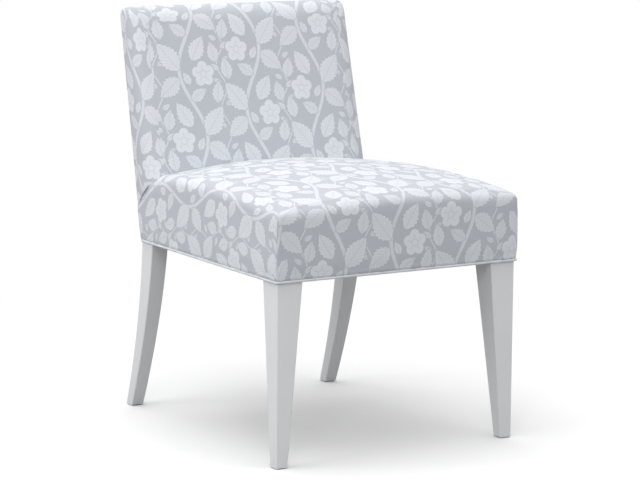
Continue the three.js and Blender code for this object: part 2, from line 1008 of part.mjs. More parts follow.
function seatFoam() {
  return cushionSolid(seatCushion, padInset, coverBase)
    .subtract(frameSpace())
    .subtract(postSpace())
    .subtract(backSpace(gap));
}

function backCover() {
  return cushionSolid(backCushion, 0, 0)
    .subtract(cushionSolid(backCushion, coverThickness, 0, overrun))
    .intersect(aboveTuck(0));
}

// Everything that the back's foam goes round: posts, rails and webs, up to the crest
function backFrameSpace() {
  const depth = shoulder + postDepth + webThickness + 2 * gap;
  const half = backX - shoulder + gap;
  const low = legHeight - overrun;
  const high = postTop + gap;
  const plan = [
    [-half, low],
    [half, low],
    [half, high],
    [-half, high],
  ];
  return prismBack(plan, -overrun, depth);
}

// A slab over an outline of [x, z] points, between two depths in front of the outside back
function prismBack(outline, fromDepth, toDepth) {
  const geometry = extruded(outline, toDepth - fromDepth);
  const position = geometry.attributes.position;
  for (let i = 0; i < position.count; i += 1) {
    const x = position.getX(i);
    const z = position.getY(i);
    const depth = position.getZ(i) + fromDepth;
    position.setXYZ(i, x, rearY(z) - depth, z);
  }
  return toSolid(geometry);
}

function jointSpace() {
  const low = legHeight - overrun;
  const high = railTop + postNarrowingHeight + gap;
  const outline = [
    [creaseY - backDepth, low],
    [beyond, low],
    [beyond, high],
    [creaseY - backDepth, high],
  ];
  return prismX(outline, -frontWidth, frontWidth);
}

function backFoam() {
  return cushionSolid(backCushion, padInset, 0)
    .subtract(backFrameSpace())
    .subtract(behind(panelThickness + gap))
    .subtract(jointSpace())
    .intersect(aboveTuck(0));
}

// The outside back, stretched between the edges of the seat and back covers
function outsideBack() {
  const high = chairHeight - padInset;
  const half = backX + coverProud - padInset;
  const low = coverBase;
  const radius = backCornerRadius + padInset * cornerSofteningShare;
  const corners = [
    new THREE.Vector2(half, low),
    new THREE.Vector2(half, high),
    new THREE.Vector2(-half, high),
    new THREE.Vector2(-half, low),
  ];
  const rounded = roundedRing(corners, radius);
  const square = rounded.map(({ x, y }) => {
    return y < low + radius ? [Math.sign(x) * half, low] : [x, y];
  });
  return prismBack(square, 0, panelThickness);
}

function weltPath() {
  const z = legHeight + weltRadius;
  const frontOut = weltProud + seatProud - coverProud;
  const frontX = sideX(0) + frontOut;
  const rearX = sideX(frameDepth) + weltProud;
  const corners = [
    new THREE.Vector2(frontX, -frontOut),
    new THREE.Vector2(rearX, frameDepth + weltProud),
    new THREE.Vector2(-rearX, frameDepth + weltProud),
    new THREE.Vector2(-frontX, -frontOut),
  ];
  const ring = roundedRing(corners, weltCornerRadius);
  return ring.map(({ x, y }) => new THREE.Vector3(x, y, z));
}

function dustCover() {
  const inner = shoulder + dustCoverMargin;
  const farY = rearY(legHeight) - inner;
  const plan = [
    [frameX(inner) - dustCoverMargin, inner],
    [frameX(farY) - dustCoverMargin, farY],
    [dustCoverMargin - frameX(farY), farY],
    [dustCoverMargin - frameX(inner), inner],
  ];
  const low = legHeight - overrun;
  let sheet = prismZ(plan, legHeight, legHeight + dustCoverThickness);
  for (const side of [left, right]) {
    const frontX = side * (frontWidth / 2 - frontPostInner - gap);
    const rearX = side * (postInnerX - gap);
    const frontPost = [
      [frontX, -overrun],
      [side * frontWidth, -overrun],
      [side * frontWidth, frontPostInner + gap],
      [frontX, frontPostInner + gap],
    ];
    const rearPostPlan = [
      [rearX, postFrontY - gap],
      [side * frontWidth, postFrontY - gap],
      [side * frontWidth, beyond],
      [rearX, beyond],
    ];
    sheet = sheet.subtract(prismZ(frontPost, low, railTop));
    sheet = sheet.subtract(prismZ(rearPostPlan, low, railTop));
  }
  return sheet;
}

function addWebs() {
  const depth = shoulder + postDepth + gap;
  const low = stayRail.top + webEndMargin;
  const high = crestRail.base - webEndMargin;
  const pitch = (high - low) / webCount;
  const webWidth = pitch * webShare;
  const half = backX - shoulder - webSideMargin;
  for (let i = 0; i < webCount; i += 1) {
    const base = low + pitch * i + (pitch - webWidth) / 2;
    const web = leanBar(depth, webThickness, base, base + webWidth, -half, half);
    add(`back_web_${i + 1}`, web, webbing);
  }
}

function addUpholstery() {
  add("dust_cover", dustCover(), cambric);
  add("seat_foam", seatFoam(), foam);
  add("seat_cover", seatCover(), fabric);
  add("seat_welt", tube(weltPath(), weltRadius, weltSides, true), piping);
  addWebs();
  add("back_foam", backFoam(), foam);
  add("back_cover", backCover(), fabric);
  add("outside_back_panel", outsideBack(), fabric);
}

addLegs();
addRails();
addCorners();
addSprings();
addUpholstery();

// The origin goes to the floor under the middle of the chair's box
const box = new THREE.Box3().setFromObject(chair);
const middle = box.getCenter(new THREE.Vector3());
chair.position.set(-middle.x, -middle.y, -box.min.z);

export default chair;
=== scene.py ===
# Slipper chair: cloth covers, welt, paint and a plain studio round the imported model

import json
import math

import bpy
import numpy as np
from mathutils import Matrix, Vector


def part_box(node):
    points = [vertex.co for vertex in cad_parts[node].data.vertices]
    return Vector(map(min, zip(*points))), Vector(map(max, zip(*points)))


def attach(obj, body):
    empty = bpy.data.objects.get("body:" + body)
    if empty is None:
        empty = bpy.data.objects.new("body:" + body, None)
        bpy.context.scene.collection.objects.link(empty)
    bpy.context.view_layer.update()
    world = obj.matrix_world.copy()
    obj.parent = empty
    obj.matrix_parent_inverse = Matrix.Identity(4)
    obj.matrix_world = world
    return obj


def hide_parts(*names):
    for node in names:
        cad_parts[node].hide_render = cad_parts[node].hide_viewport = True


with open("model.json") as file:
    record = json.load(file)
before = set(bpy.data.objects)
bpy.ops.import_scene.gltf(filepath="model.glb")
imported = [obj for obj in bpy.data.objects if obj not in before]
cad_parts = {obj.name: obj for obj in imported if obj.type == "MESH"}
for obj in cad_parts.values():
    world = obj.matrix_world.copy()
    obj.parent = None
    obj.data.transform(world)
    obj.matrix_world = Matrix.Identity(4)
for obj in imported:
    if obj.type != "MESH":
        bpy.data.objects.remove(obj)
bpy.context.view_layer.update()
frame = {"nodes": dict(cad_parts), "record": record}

# Sizes of the chair in metres, with depth measured back from the front legs' faces
FRONT_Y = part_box("front_leg_left")[0].y
FRONT_WIDTH = 0.557
REAR_WIDTH = 0.523
FRAME_DEPTH = 0.584
LEG_HEIGHT = 0.365
CHAIR_HEIGHT = 0.850
RAKE = 0.095 / (CHAIR_HEIGHT - LEG_HEIGHT)
COVER_PROUD = 0.0035
COVER_BASE = LEG_HEIGHT + 0.0050
COVER_THICKNESS = 0.002
HEM_LOW = COVER_BASE + 0.0008

# Seat cushion
CROWN_HEIGHT = 0.545
CROWN_PLACE = 0.345
FRONT_FALL = 0.025
CREASE_FALL = 0.014
FRONT_SIDE_FALL = 0.0155
CREASE_SIDE_FALL = 0.022
SEAT_EDGE = 0.022
SEAT_CORNER = 0.012
CORNER_FULLNESS = 0.5
CORNER_REACH = 0.040
HEM_PROUD = 0.0052
FRONT_PROUD = 0.0070
TOP_PROUD = 0.0066
REAR_HEM_PROUD = 0.0024
REAR_PROUD = 0.0038

# Back cushion
BACK_DEPTH = 0.088
BACK_TOP_DEPTH = 0.066
BACK_SIDE_FALL = 0.008
BACK_EDGE = 0.029
BACK_CORNER = 0.020
BACK_SWELL = 0.0040
BACK_FOLD = 0.0028
BACK_X = REAR_WIDTH / 2

# Seam where the seat's side band runs under the back
TUCK_FRONT = 0.497
TUCK_REAR = 0.437
TUCK_BOW = 0.005

# Welt
WELT_RADIUS = 0.00275
WELT_PROUD = 0.0017
WELT_CORNER = 0.007
WELT_SIDES = 14
FRONT_LEG = 0.0575
REAR_LEG_WIDTH = 0.0385
REAR_LEG_DEPTH = 0.045
LEG_GAP = 0.0005
TAPE_WIDTH = 0.014
TAPE_LOW = 0.00065
TAPE_HIGH = 0.00100

# Sewn front corners: the height where they end, and their ridge with the thread's groove in it
SEAM_TOP = 0.478
RIDGE_HEIGHT = 0.0010
RIDGE_WIDTH = 0.0022
GROOVE_DEPTH = 0.0011
GROOVE_WIDTH = 0.0006

# Puckers along the welt
PUCKER_HEIGHT = 0.00055
PUCKER_PLACE = 0.004
PUCKER_REACH = 0.013

# Powers of the falls from the crown, and how much a corner's radius grows with its depth
FALL_POWER = 2.2
SIDE_POWER = 1.7
SOFTENING = 0.8

CREASE_HEIGHT = CROWN_HEIGHT - CREASE_FALL
# Below this height the seat's side band passes the back at one depth
BAND_TOP = CREASE_HEIGHT - 0.06


def side_x(y):
    """Half the seat frame's width."""
    return (FRONT_WIDTH + (REAR_WIDTH - FRONT_WIDTH) * y / FRAME_DEPTH) / 2


def rear_y(z):
    """Depth of the chair's raked rear plane."""
    return FRAME_DEPTH + (z - LEG_HEIGHT) * RAKE


CREASE_Y = rear_y(CREASE_HEIGHT) - BACK_DEPTH


def smooth(low, high, value):
    """A soft step from 0 at low to 1 at high."""
    share = np.clip((value - low) / (high - low), 0, 1)
    return share * share * (3 - 2 * share)


def back_thickness(x, z):
    """Depth of the back's padding from its front skin to the rear plane."""
    climb = (z - CREASE_HEIGHT) / (CHAIR_HEIGHT - CREASE_HEIGHT)
    depth = BACK_DEPTH + (BACK_TOP_DEPTH - BACK_DEPTH) * climb
    return depth - BACK_SIDE_FALL * np.abs(x / (BACK_X + COVER_PROUD)) ** FALL_POWER


def back_face_y(x, z):
    """Depth of the back's front skin, with its rounded sides."""
    edge = BACK_X + COVER_PROUD + BACK_SWELL - BACK_EDGE
    past = np.clip(np.abs(x) - edge, 0, BACK_EDGE)
    turn = BACK_EDGE - np.sqrt(BACK_EDGE**2 - past**2)
    return rear_y(z) - back_thickness(x, z) + turn


def seat_top(x, y):
    """Height of the seat's crowned top."""
    to_front = np.maximum(CROWN_PLACE - y, 0) / CROWN_PLACE
    to_crease = np.maximum(y - CROWN_PLACE, 0) / (CREASE_Y - CROWN_PLACE)
    share = np.sin(np.clip(y / CREASE_Y, 0, 1) * math.pi / 2)
    side = FRONT_SIDE_FALL + (CREASE_SIDE_FALL - FRONT_SIDE_FALL) * share
    return (
        CROWN_HEIGHT
        - FRONT_FALL * to_front**FALL_POWER
        - CREASE_FALL * to_crease**FALL_POWER
        - side * np.abs(x / (side_x(y) + COVER_PROUD)) ** SIDE_POWER
    )


def off_front_corner(x, y):
    """Distance in plan from the nearer front corner of the seat."""
    return np.hypot(np.abs(x) - side_x(0) - TOP_PROUD, y + TOP_PROUD)


def tuck_z(y):
    """Height of the seam under the back."""
    share = (y - CREASE_Y) / (rear_y(TUCK_REAR) - CREASE_Y)
    bow = np.clip(4 * share * (1 - share), 0, 1)
    return TUCK_FRONT + (TUCK_REAR - TUCK_FRONT) * share + TUCK_BOW * bow


# Meshes


def place(points):
    """Moves points measured from the front legs' faces into the shared frame."""
    moved = np.array(points, float)
    moved[:, 1] += FRONT_Y
    return moved


def turned_over(faces, uv):
    """The same faces seen from the other side."""
    turned = []
    for i in range(0, len(uv), 4):
        turned.extend(uv[i : i + 4][::-1])
    return [face[::-1] for face in faces], turned


def new_object(name, data):
    """An object in the scene with this data."""
    item = bpy.data.objects.new(name, data)
    bpy.context.scene.collection.objects.link(item)
    return item


def new_mesh(name, points, faces):
    mesh = bpy.data.meshes.new(name)
    mesh.from_pydata([list(p) for p in points], [], [list(face) for face in faces])
    return mesh


def make_object(name, points, faces, cloth_uv=None, smooth_faces=True):
    """A mesh object; cloth_uv holds one place on the cloth for each corner of each face."""
    mesh = new_mesh(name, place(points).tolist(), faces)
    if cloth_uv is not None:
        layer = mesh.attributes.new("cloth_place", "FLOAT_VECTOR", "CORNER")
        flat = np.zeros((len(cloth_uv), 3), np.float32)
        flat[:, :2] = cloth_uv
        layer.data.foreach_set("vector", flat.ravel())
    mesh.validate()
    mesh.update()
    mesh.polygons.foreach_set("use_smooth", [smooth_faces] * len(mesh.polygons))
    return new_object(name, mesh)


def apply_modifiers(item):
    graph = bpy.context.evaluated_depsgraph_get()
    graph.update()
    mesh = bpy.data.meshes.new_from_object(
        item.evaluated_get(graph), preserve_all_data_layers=True, depsgraph=graph
    )
    item.modifiers.clear()
    item.data = mesh


def thicken(item, thickness):
    """Gives a skin its thickness, inward from its outer face."""
    solid = item.modifiers.new("thickness", "SOLIDIFY")
    solid.thickness = thickness
    solid.offset = -1
    apply_modifiers(item)


def clip_mesh(points, faces, uv, values):
    """Keeps the part of a mesh where values are positive, and lists the edges of the cut."""
    points = [tuple(p) for p in points]
    made = {}
    kept_faces, kept_uv, cut = [], [], []
    corner = 0
    for face in faces:
        count = len(face)
        corner_uv = uv[corner : corner + count]
        corner += count
        inside = [values[v] > 0 for v in face]
        if not any(inside):
            continue
        if all(inside):
            kept_faces.append(list(face))
            kept_uv.extend(corner_uv)
            continue
        new_face, new_uv, crossings = [], [], []
        for i in range(count):
            a, b = face[i], face[(i + 1) % count]
            if values[a] > 0:
                new_face.append(a)
                new_uv.append(corner_uv[i])
            if (values[a] > 0) != (values[b] > 0):
                share = values[a] / (values[a] - values[b])
                key = (min(a, b), max(a, b))
                if key not in made:
                    pa, pb = np.array(points[a]), np.array(points[b])
                    made[key] = len(points)
                    points.append(tuple(pa + (pb - pa) * share))
                new_face.append(made[key])
                crossings.append((made[key], len(new_face) - 1, values[a] > 0))
                ua, ub = np.array(corner_uv[i]), np.array(corner_uv[(i + 1) % count])
                new_uv.append(tuple(ua + (ub - ua) * share))
        kept_faces.append(new_face)
        kept_uv.extend(new_uv)
        if len(crossings) == 2:
            leave = next(c for c in crossings if c[2])
            enter = next(c for c in crossings if not c[2])
            cut.append((leave[0], enter[0], new_uv[leave[1]], new_uv[enter[1]]))
    return points, kept_faces, kept_uv, cut


def hem(points, faces, uv, cut, steps):
    """Turns a cut edge in by the moves that steps gives for a point."""
    rows = {}
    for a, b, _, _ in cut:
        for v in (a, b):
            if v not in rows:
                row = [v]
                for move in steps(np.array(points[v])):
                    points.append(tuple(np.array(points[v]) + move))
                    row.append(len(points) - 1)
                rows[v] = row
    for a, b, uv_a, uv_b in cut:
        ra, rb = rows[a], rows[b]
        for i in range(len(ra) - 1):
            faces.append([rb[i], ra[i], ra[i + 1], rb[i + 1]])
            uv.extend([uv_b, uv_a, uv_a, uv_b])


def drop_loose(points, faces):
    """Leaves out the points that no face uses."""
    used = sorted({v for face in faces for v in face})
    index = {v: i for i, v in enumerate(used)}
    return np.array([points[v] for v in used]), [[index[v] for v in face] for face in faces]


# Cushion skins


def span(start, end, count):
    t = np.linspace(0, 1, count + 1)[:, None]
    return start + (end - start) * t


def toward(start, end, length):
    return start + (end - start) * length / np.linalg.norm(end - start)


def bend(before, corner, after, radius, count):
    """A rounded corner between two places, with its points closest together in its middle."""
    start, end = toward(corner, before, radius), toward(corner, after, radius)
    even = np.linspace(-1, 1, count + 1)
    t = (0.5 + 0.5 * np.sign(even) * np.abs(even) ** 1.3)[:, None]
    return start * (1 - t) ** 2 + corner * 2 * t * (1 - t) + end * t * t


def u_line(half_far, far, half_near, near, radius, counts):
    """A line from the far left down one side, round two corners and back to the far right."""
    side, arc, front = counts
    left_far, right_far = np.array([-half_far, far]), np.array([half_far, far])
    left, right = np.array([-half_near, near]), np.array([half_near, near])
    first = bend(left_far, left, right, radius, 2 * arc)
    second = bend(left, right, right_far, radius, 2 * arc)
    parts = [
        span(left_far, first[0], side)[:-1],
        first[:-1],
        span(first[-1], second[0], front)[:-1],
        second[:-1],
        span(second[-1], right_far, side),
    ]
    return np.concatenate(parts)


def coons(front, far, left, right):
    """Fills four border lines that share their corners."""
    s = np.linspace(0, 1, len(front))[None, :, None]
    t = np.linspace(0, 1, len(left))[:, None, None]
    mix = (1 - t) * front[None] + t * far[None] + (1 - s) * left[:, None] + s * right[:, None]
    return (
        mix
        - (1 - s) * (1 - t) * front[0]
        - s * (1 - t) * front[-1]
        - (1 - s) * t * far[0]
        - s * t * far[-1]
    )


def cells(rows, columns):
    """The corners of each face of a grid, by row and column."""
    for j in range(rows - 1):
        for i in range(columns - 1):
            yield (j, i), (j, i + 1), (j + 1, i + 1), (j + 1, i)


def tube_faces(first, rings, sides, order):
    """Faces along a tube with open ends; order lists a face's corners as cells gives them."""
    for corners in cells(rings, sides + 1):
        yield [first + corners[k][0] * sides + corners[k][1] % sides for k in order]


def quarter_turn(steps):
    """Cosine and sine of even steps through a right angle."""
    turns = [i / steps * math.pi / 2 for i in range(steps + 1)]
    return [(math.cos(turn), math.sin(turn)) for turn in turns]


def stand(plan, thickness):
    """Places of a plan of width and height, this far in front of the rear plane."""
    return np.column_stack([plan[:, 0], rear_y(plan[:, 1]) - thickness, plan[:, 1]])


class Skin:
    """A cushion's skin: rows round three sides that rise to a rim, and a grid inside it.

    rows are lists of places in space along the same U, from the foot to the rim.
    rim_plan holds the rim's places in the cushion's plan, and lift takes plan into space.
    """

    def __init__(self, rows, rim_plan, counts, lift):
        side, arc, front = counts
        self.first = side + arc
        self.second = side + 3 * arc + front
        self.rows = np.array(rows)
        count = self.rows.shape[1]
        left = rim_plan[: self.first + 1][::-1]
        right = rim_plan[self.second :]
        near = rim_plan[self.first : self.second + 1]
        far = span(left[-1], right[-1], len(near) - 1)
        self.grid_plan = coons(near, far, left, right)
        grid = lift(self.grid_plan.reshape(-1, 2)).reshape(*self.grid_plan.shape[:2], 3)
        self.points = list(self.rows.reshape(-1, 3))
        self.faces, self.uv = [], []
        self.add_strip(count, rim_plan)
        self.add_grid(grid, count, len(rows) - 1)

    def add_strip(self, count, rim_plan):
        """Faces round the sides, each flap with its own lie of the cloth."""
        down = np.linalg.norm(np.diff(self.rows, axis=0), axis=2)
        length = np.concatenate([np.cumsum(down[::-1], axis=0)[::-1], np.zeros((1, count))])
        step = np.linalg.norm(np.diff(self.rows, axis=1), axis=2)
        along = np.concatenate([np.zeros((len(self.rows), 1)), np.cumsum(step, axis=1)], axis=1)
        middle = (self.first + self.second) // 2
        across = along - along[:, middle : middle + 1]
        far = rim_plan[0, 1]
        turned = np.sign(far - rim_plan[middle, 1])
        total = along[:, -1:]

        def lie(column, j, i):
            if column < self.first:
                return rim_plan[i, 0] - length[j, i], far - turned * along[j, i]
            if column < self.second:
                return across[j, i], rim_plan[i, 1] - turned * length[j, i]
            return rim_plan[i, 0] + length[j, i], far - turned * (total[j, 0] - along[j, i])

        self.add_faces(np.arange(length.size).reshape(length.shape), lie)

    def add_grid(self, grid, count, last):
        """Faces inside the rim, which share the rim's points."""
        depth, width = grid.shape[:2]
        rim = last * count
        index = np.zeros((depth, width), int)
        index[:, 0] = rim + self.first - np.arange(depth)
        index[:, -1] = rim + self.second + np.arange(depth)
        index[0] = rim + self.first + np.arange(width)
        inner = grid[1:, 1:-1]
        fresh = np.arange(inner.shape[0] * inner.shape[1]).reshape(inner.shape[:2])
        index[1:, 1:-1] = len(self.points) + fresh
        self.points.extend(inner.reshape(-1, 3))
        self.add_faces(index, lambda column, j, i: tuple(self.grid_plan[j, i]))

    def add_faces(self, index, lie):
        """Faces between rows of points; lie gives a corner's place on the cloth."""
        for corners in cells(*index.shape):
            self.faces.append([int(index[corner]) for corner in corners])
            self.uv.extend(lie(corners[0][1], *corner) for corner in corners)


CLOTH_FRAMES = 20
CLOTH_SETTINGS = {
    "quality": 6,
    "mass": 0.3,
    "tension_stiffness": 200,
    "compression_stiffness": 200,
    "shear_stiffness": 100,
    "bending_stiffness": 2,
    "use_pressure": True,
    "uniform_pressure_force": 1,
    "vertex_group_mass": "held",
}
# How far inside its full shape a cushion starts before air fills it
PADDING_ROOM = 0.0028
# Steps along a side, round half a corner and along the front of each cushion
SEAT_COUNTS = (110, 10, 104)
BACK_COUNTS = (56, 8, 72)
# Seam beside the back's rear edge: how far from the edge, and how deep
REAR_SEAM = ((0.0036, 0.0), (0.0044, 0.0005), (0.0050, 0.0010), (0.0056, 0.0005), (0.0064, 0.0))
WALL_STEPS = 22
BACK_WALL_STEPS = 12
FOLD_STEPS = 3
TURN_STEPS = 7
# Folds of the seat's hem, by how far in each lies
HEM_FOLDS = (0.005, 0.001)
# Folds at the back cover's rear edge: how far in and how far forward
REAR_FOLDS = ((0.0075, 0.0012), (0.0055, 0.0))


def wall_proud(climb):
    """How far the front and the rear of the seat's wall stand out at a share of its height."""
    full = float(smooth(0.0, 0.22, climb))
    front = HEM_PROUD + (FRONT_PROUD - HEM_PROUD) * full
    front += (TOP_PROUD - FRONT_PROUD) * float(smooth(0.45, 1.0, climb))
    rear = REAR_HEM_PROUD + (REAR_PROUD - REAR_HEM_PROUD) * full
    return front, rear


def seat_skin():
    """The seat's cover before the back takes its room out of it."""
    end = FRAME_DEPTH + 0.03

    def ring(depth, climb):
        front, rear = wall_proud(climb)
        out = front - depth
        half_far = side_x(end) + rear - depth
        radius = SEAT_CORNER + depth * SOFTENING
        return u_line(half_far, end, side_x(0) + out, -out, radius, SEAT_COUNTS)

    rows = []
    for turned_in in HEM_FOLDS:
        plan = ring(turned_in, 0)
        rows.append(np.column_stack([plan, np.full(len(plan), COVER_BASE)]))
    for i in range(WALL_STEPS + 1):
        climb = i / WALL_STEPS
        plan = ring(0, climb)
        top = seat_top(*plan.T) - SEAT_EDGE
        rows.append(np.column_stack([plan, HEM_LOW + (top - HEM_LOW) * climb]))
    outer, rim = ring(0, 1), ring(SEAT_EDGE, 1)
    power = 1 - CORNER_FULLNESS * np.exp(-((off_front_corner(*outer.T) / CORNER_REACH) ** 2))
    for cosine, sine in quarter_turn(TURN_STEPS)[1:]:
        inset = 1 - max(cosine, 0) ** power
        plan = outer + (rim - outer) * inset[:, None]
        fall = SEAT_EDGE * (1 - sine**power)
        rows.append(np.column_stack([plan, seat_top(*plan.T) - fall]))

    def lift(plan):
        return np.column_stack([plan, seat_top(*plan.T)])

    return Skin(rows, rim, SEAT_COUNTS, lift)


def back_skin():
    """The back's cover, in a plan of width and height that leans with the rake."""
    low = TUCK_REAR - 0.03

    def ring(depth, share):
        out = BACK_SWELL * share - depth
        half = BACK_X + COVER_PROUD + out
        radius = BACK_CORNER + depth * SOFTENING
        return u_line(half, low, half, CHAIR_HEIGHT + out, radius, BACK_COUNTS)

    rows = [stand(ring(depth, 0), thickness) for depth, thickness in REAR_FOLDS]
    for cosine, sine in quarter_turn(FOLD_STEPS):
        rows.append(stand(ring(BACK_FOLD * (1 - sine), 0), BACK_FOLD * (1 - cosine)))
    for off_rear, depth in REAR_SEAM:
        rows.append(stand(ring(depth, 0), off_rear))
    start = REAR_SEAM[-1][0]
    for i in range(1, BACK_WALL_STEPS + 1):
        share = i / BACK_WALL_STEPS
        plan = ring(0, math.sin(share * math.pi / 2))
        top = back_thickness(*plan.T) - BACK_EDGE
        rows.append(stand(plan, start + (top - start) * share))
    for cosine, sine in quarter_turn(TURN_STEPS)[1:]:
        plan = ring(BACK_EDGE * (1 - cosine), cosine)
        rows.append(stand(plan, back_thickness(*plan.T) - BACK_EDGE * (1 - sine)))
    rim = ring(BACK_EDGE, 0)

    def lift(plan):
        return stand(plan, back_thickness(*plan.T))

    return Skin(rows, rim, BACK_COUNTS, lift)


def normals_of(points, faces):
    """Smooth outward directions of a skin of four-sided faces."""
    face = np.array(faces)
    across = points[face[:, 2]] - points[face[:, 0]]
    along = points[face[:, 3]] - points[face[:, 1]]
    flat = np.cross(across, along)
    total = np.zeros_like(points)
    for corner in range(4):
        np.add.at(total, face[:, corner], flat)
    return total / np.maximum(np.linalg.norm(total, axis=1), 1e-12)[:, None]


def filled_by_air(start, faces, held):
    """Where a skin's points come to when air pressure fills it as cloth."""
    mesh = new_mesh("filling", start.tolist(), faces)
    item = new_object("filling", mesh)
    group = item.vertex_groups.new(name="held")
    for i in np.nonzero(held > 0.02)[0]:
        group.add([int(i)], float(held[i]), "REPLACE")
    cloth = item.modifiers.new("cloth", "CLOTH")
    for name, value in CLOTH_SETTINGS.items():
        setattr(cloth.settings, name, value)
    cloth.settings.effector_weights.gravity = 0
    cloth.collision_settings.use_collision = False
    cloth.collision_settings.use_self_collision = False
    cloth.point_cache.frame_start = 1
    cloth.point_cache.frame_end = CLOTH_FRAMES
    scene = bpy.context.scene
    for step in range(1, CLOTH_FRAMES + 1):
        scene.frame_set(step)
    graph = bpy.context.evaluated_depsgraph_get()
    filled = item.evaluated_get(graph)
    flat = np.empty(len(start) * 3, np.float32)
    filled.to_mesh().vertices.foreach_get("co", flat)
    filled.to_mesh_clear()
    bpy.data.objects.remove(item)
    bpy.data.meshes.remove(mesh)
    scene.frame_set(1)
    return flat.reshape(-1, 3)


def padded_out(points, faces, held, facing):
    """Lets air pressure fill a skin that starts inside its full shape.

    held runs from 1, where the skin is sewn or tacked down, to 0, where it is free.
    facing is the direction of the padded face. The walls beside it start closer to their full
    shape than that face does. The padding's rise is capped at the full shape.
    """
    outward = normals_of(points, faces)
    toward_face = np.maximum(outward @ np.array(facing, float), 0)
    space = PADDING_ROOM * (0.25 + 0.75 * toward_face**2)
    start = points - outward * space[:, None]
    moved = ((filled_by_air(start, faces, held) - start) * outward).sum(axis=1)
    typical = np.median(moved[(held < 0.05) & (toward_face > 0.8)])
    rise = np.tanh(1.5 * np.maximum(moved, 0) / typical) / math.tanh(1.5)
    return start + outward * (space * rise)[:, None]


def sewn_corners(points, outward):
    """Raises the sewn edge of each front corner, with the thread's groove along it."""
    x, y, z = points.T
    off = np.abs(np.abs(x) - side_x(0) + y) / math.sqrt(2)
    near = (np.abs(np.abs(x) - side_x(0)) < 0.03) & (y < 0.03)
    ends = smooth(SEAM_TOP, SEAM_TOP - 0.014, z)
    ridge = RIDGE_HEIGHT * np.exp(-((off / RIDGE_WIDTH) ** 2))
    ridge -= GROOVE_DEPTH * np.exp(-((off / GROOVE_WIDTH) ** 2))
    return points + outward * (np.where(near, ridge, 0) * ends)[:, None]


def puckered(points, outward):
    """Small puckers where the seat's side band is tacked down along the welt."""
    x, y, z = points.T
    along = x + 1.3 * y
    waves = 0.5 * np.sin(168 * along) + 0.4 * np.sin(101 * along + 2) + 0.3 * np.sin(67 * along + 1)
    above = (z - COVER_BASE - PUCKER_PLACE) / PUCKER_REACH
    height = PUCKER_HEIGHT * np.exp(-(above**2)) * smooth(0.0, 0.003, z - COVER_BASE)
    return points + outward * (height * waves)[:, None]


# Pull of the side band at the seam: past the back's skin, at most, and how far down it fades
PULL_UNDER = 0.0012
PULL_MOST = 0.007
PULL_REACH = 0.012


def drawn_under_back(points):
    """Draws the seat's side band in below the back, where the back's edge rounds away."""
    x, y, z = points.T
    from_rear = rear_y(z) - y
    turn_start = back_thickness(BACK_X, z) - BACK_EDGE
    part = np.clip((from_rear - turn_start) / BACK_EDGE, 0, 1)
    edge = BACK_X + COVER_PROUD + BACK_SWELL - BACK_EDGE * (1 - np.sqrt(1 - part**2))
    below = np.maximum(tuck_z(y) - z, 0) / PULL_REACH
    in_depth = smooth(BACK_DEPTH + 0.010, BACK_DEPTH - 0.006, from_rear)
    pull = np.clip(np.abs(x) - edge + PULL_UNDER, 0, PULL_MOST) * np.exp(-(below**2)) * in_depth
    pull *= smooth(0.12, 0.2, np.abs(x))
    moved = points.copy()
    moved[:, 0] -= np.sign(x) * pull
    return moved


# How far from a sewn or tacked line the cloth is still held
PIN_REACH = 0.012
REAR_PIN_REACH = 0.010
CORNER_PIN_REACH = 0.010
# Where the covers are cut: off the back's face, off the rear plane, above the seam on the
# seat's cover and below it on the back's
FACE_GAP = 0.0003
REAR_GAP = 0.0002
SEAT_LAP = 0.0025
BACK_LAP = 0.0008
CREASE_DIP = 0.0012
CREASE_DIP_REACH = 0.006
# Two steps in which a cut edge turns in, each as its moves inward, back and up
REAR_TURN_IN = np.array([[0.001, 0, 0], [0.004, 0, 0]])
TUCK_TURN_IN = np.array([[0.0009, 0, 0.0010], [0.006, 0, 0.007]])
CREASE_TURN_IN = np.array([[0, 0.0005, -0.003], [0, -0.0015, -0.012]])
CREASE_END_TURN_IN = np.array([[0.0015, 0.0017, -0.003], [0.006, 0.0050, -0.012]])
BACK_TURN_IN = np.array([[0, 0.004, 0], [0, 0.008, 0]])
BACK_SIDE_TURN_IN = np.array([[0.0015, 0, 0.001], [0.007, 0, 0.002]])


def held_seat(points):
    """How firmly the seat's cover is held: at its hem, at the back and at its sewn corners."""
    x, y, z = points.T
    to_hem = np.maximum(z - COVER_BASE, 0) / PIN_REACH
    to_back = np.maximum(back_face_y(x, np.maximum(z, BAND_TOP)) - y, 0) / PIN_REACH
    at_back = np.exp(-(to_back**2)) * (z > CREASE_HEIGHT - 0.07)
    seam = np.exp(-((off_front_corner(x, y) / CORNER_PIN_REACH) ** 2))
    seam *= smooth(SEAM_TOP, SEAM_TOP - 0.03, z)
    return np.maximum(np.maximum(np.exp(-(to_hem**2)), at_back), 0.8 * seam)


def seat_hem_steps(point):
    """How the seat cover's cut edge turns in: at the rear, under the back or in the crease."""
    x, y, z = point
    mirror = np.array([-math.copysign(1, x), 1, 1])
    if y > rear_y(z) - 0.001:
        return REAR_TURN_IN * mirror
    tuck = smooth(0.0, 0.004, y - back_face_y(x, max(z, BAND_TOP)))
    side = smooth(BACK_X - 0.03, BACK_X - 0.01, abs(x))
    crease = CREASE_TURN_IN + (CREASE_END_TURN_IN - CREASE_TURN_IN) * side
    return (crease + (TUCK_TURN_IN - crease) * tuck) * mirror


def back_hem_steps(point):
    """How the back cover's lower edge turns in: at its sides, or behind the crease."""
    turn_in = BACK_SIDE_TURN_IN if abs(point[0]) > BACK_X - 0.004 else BACK_TURN_IN
    return turn_in * np.array([-math.copysign(1, point[0]), 1, 1])


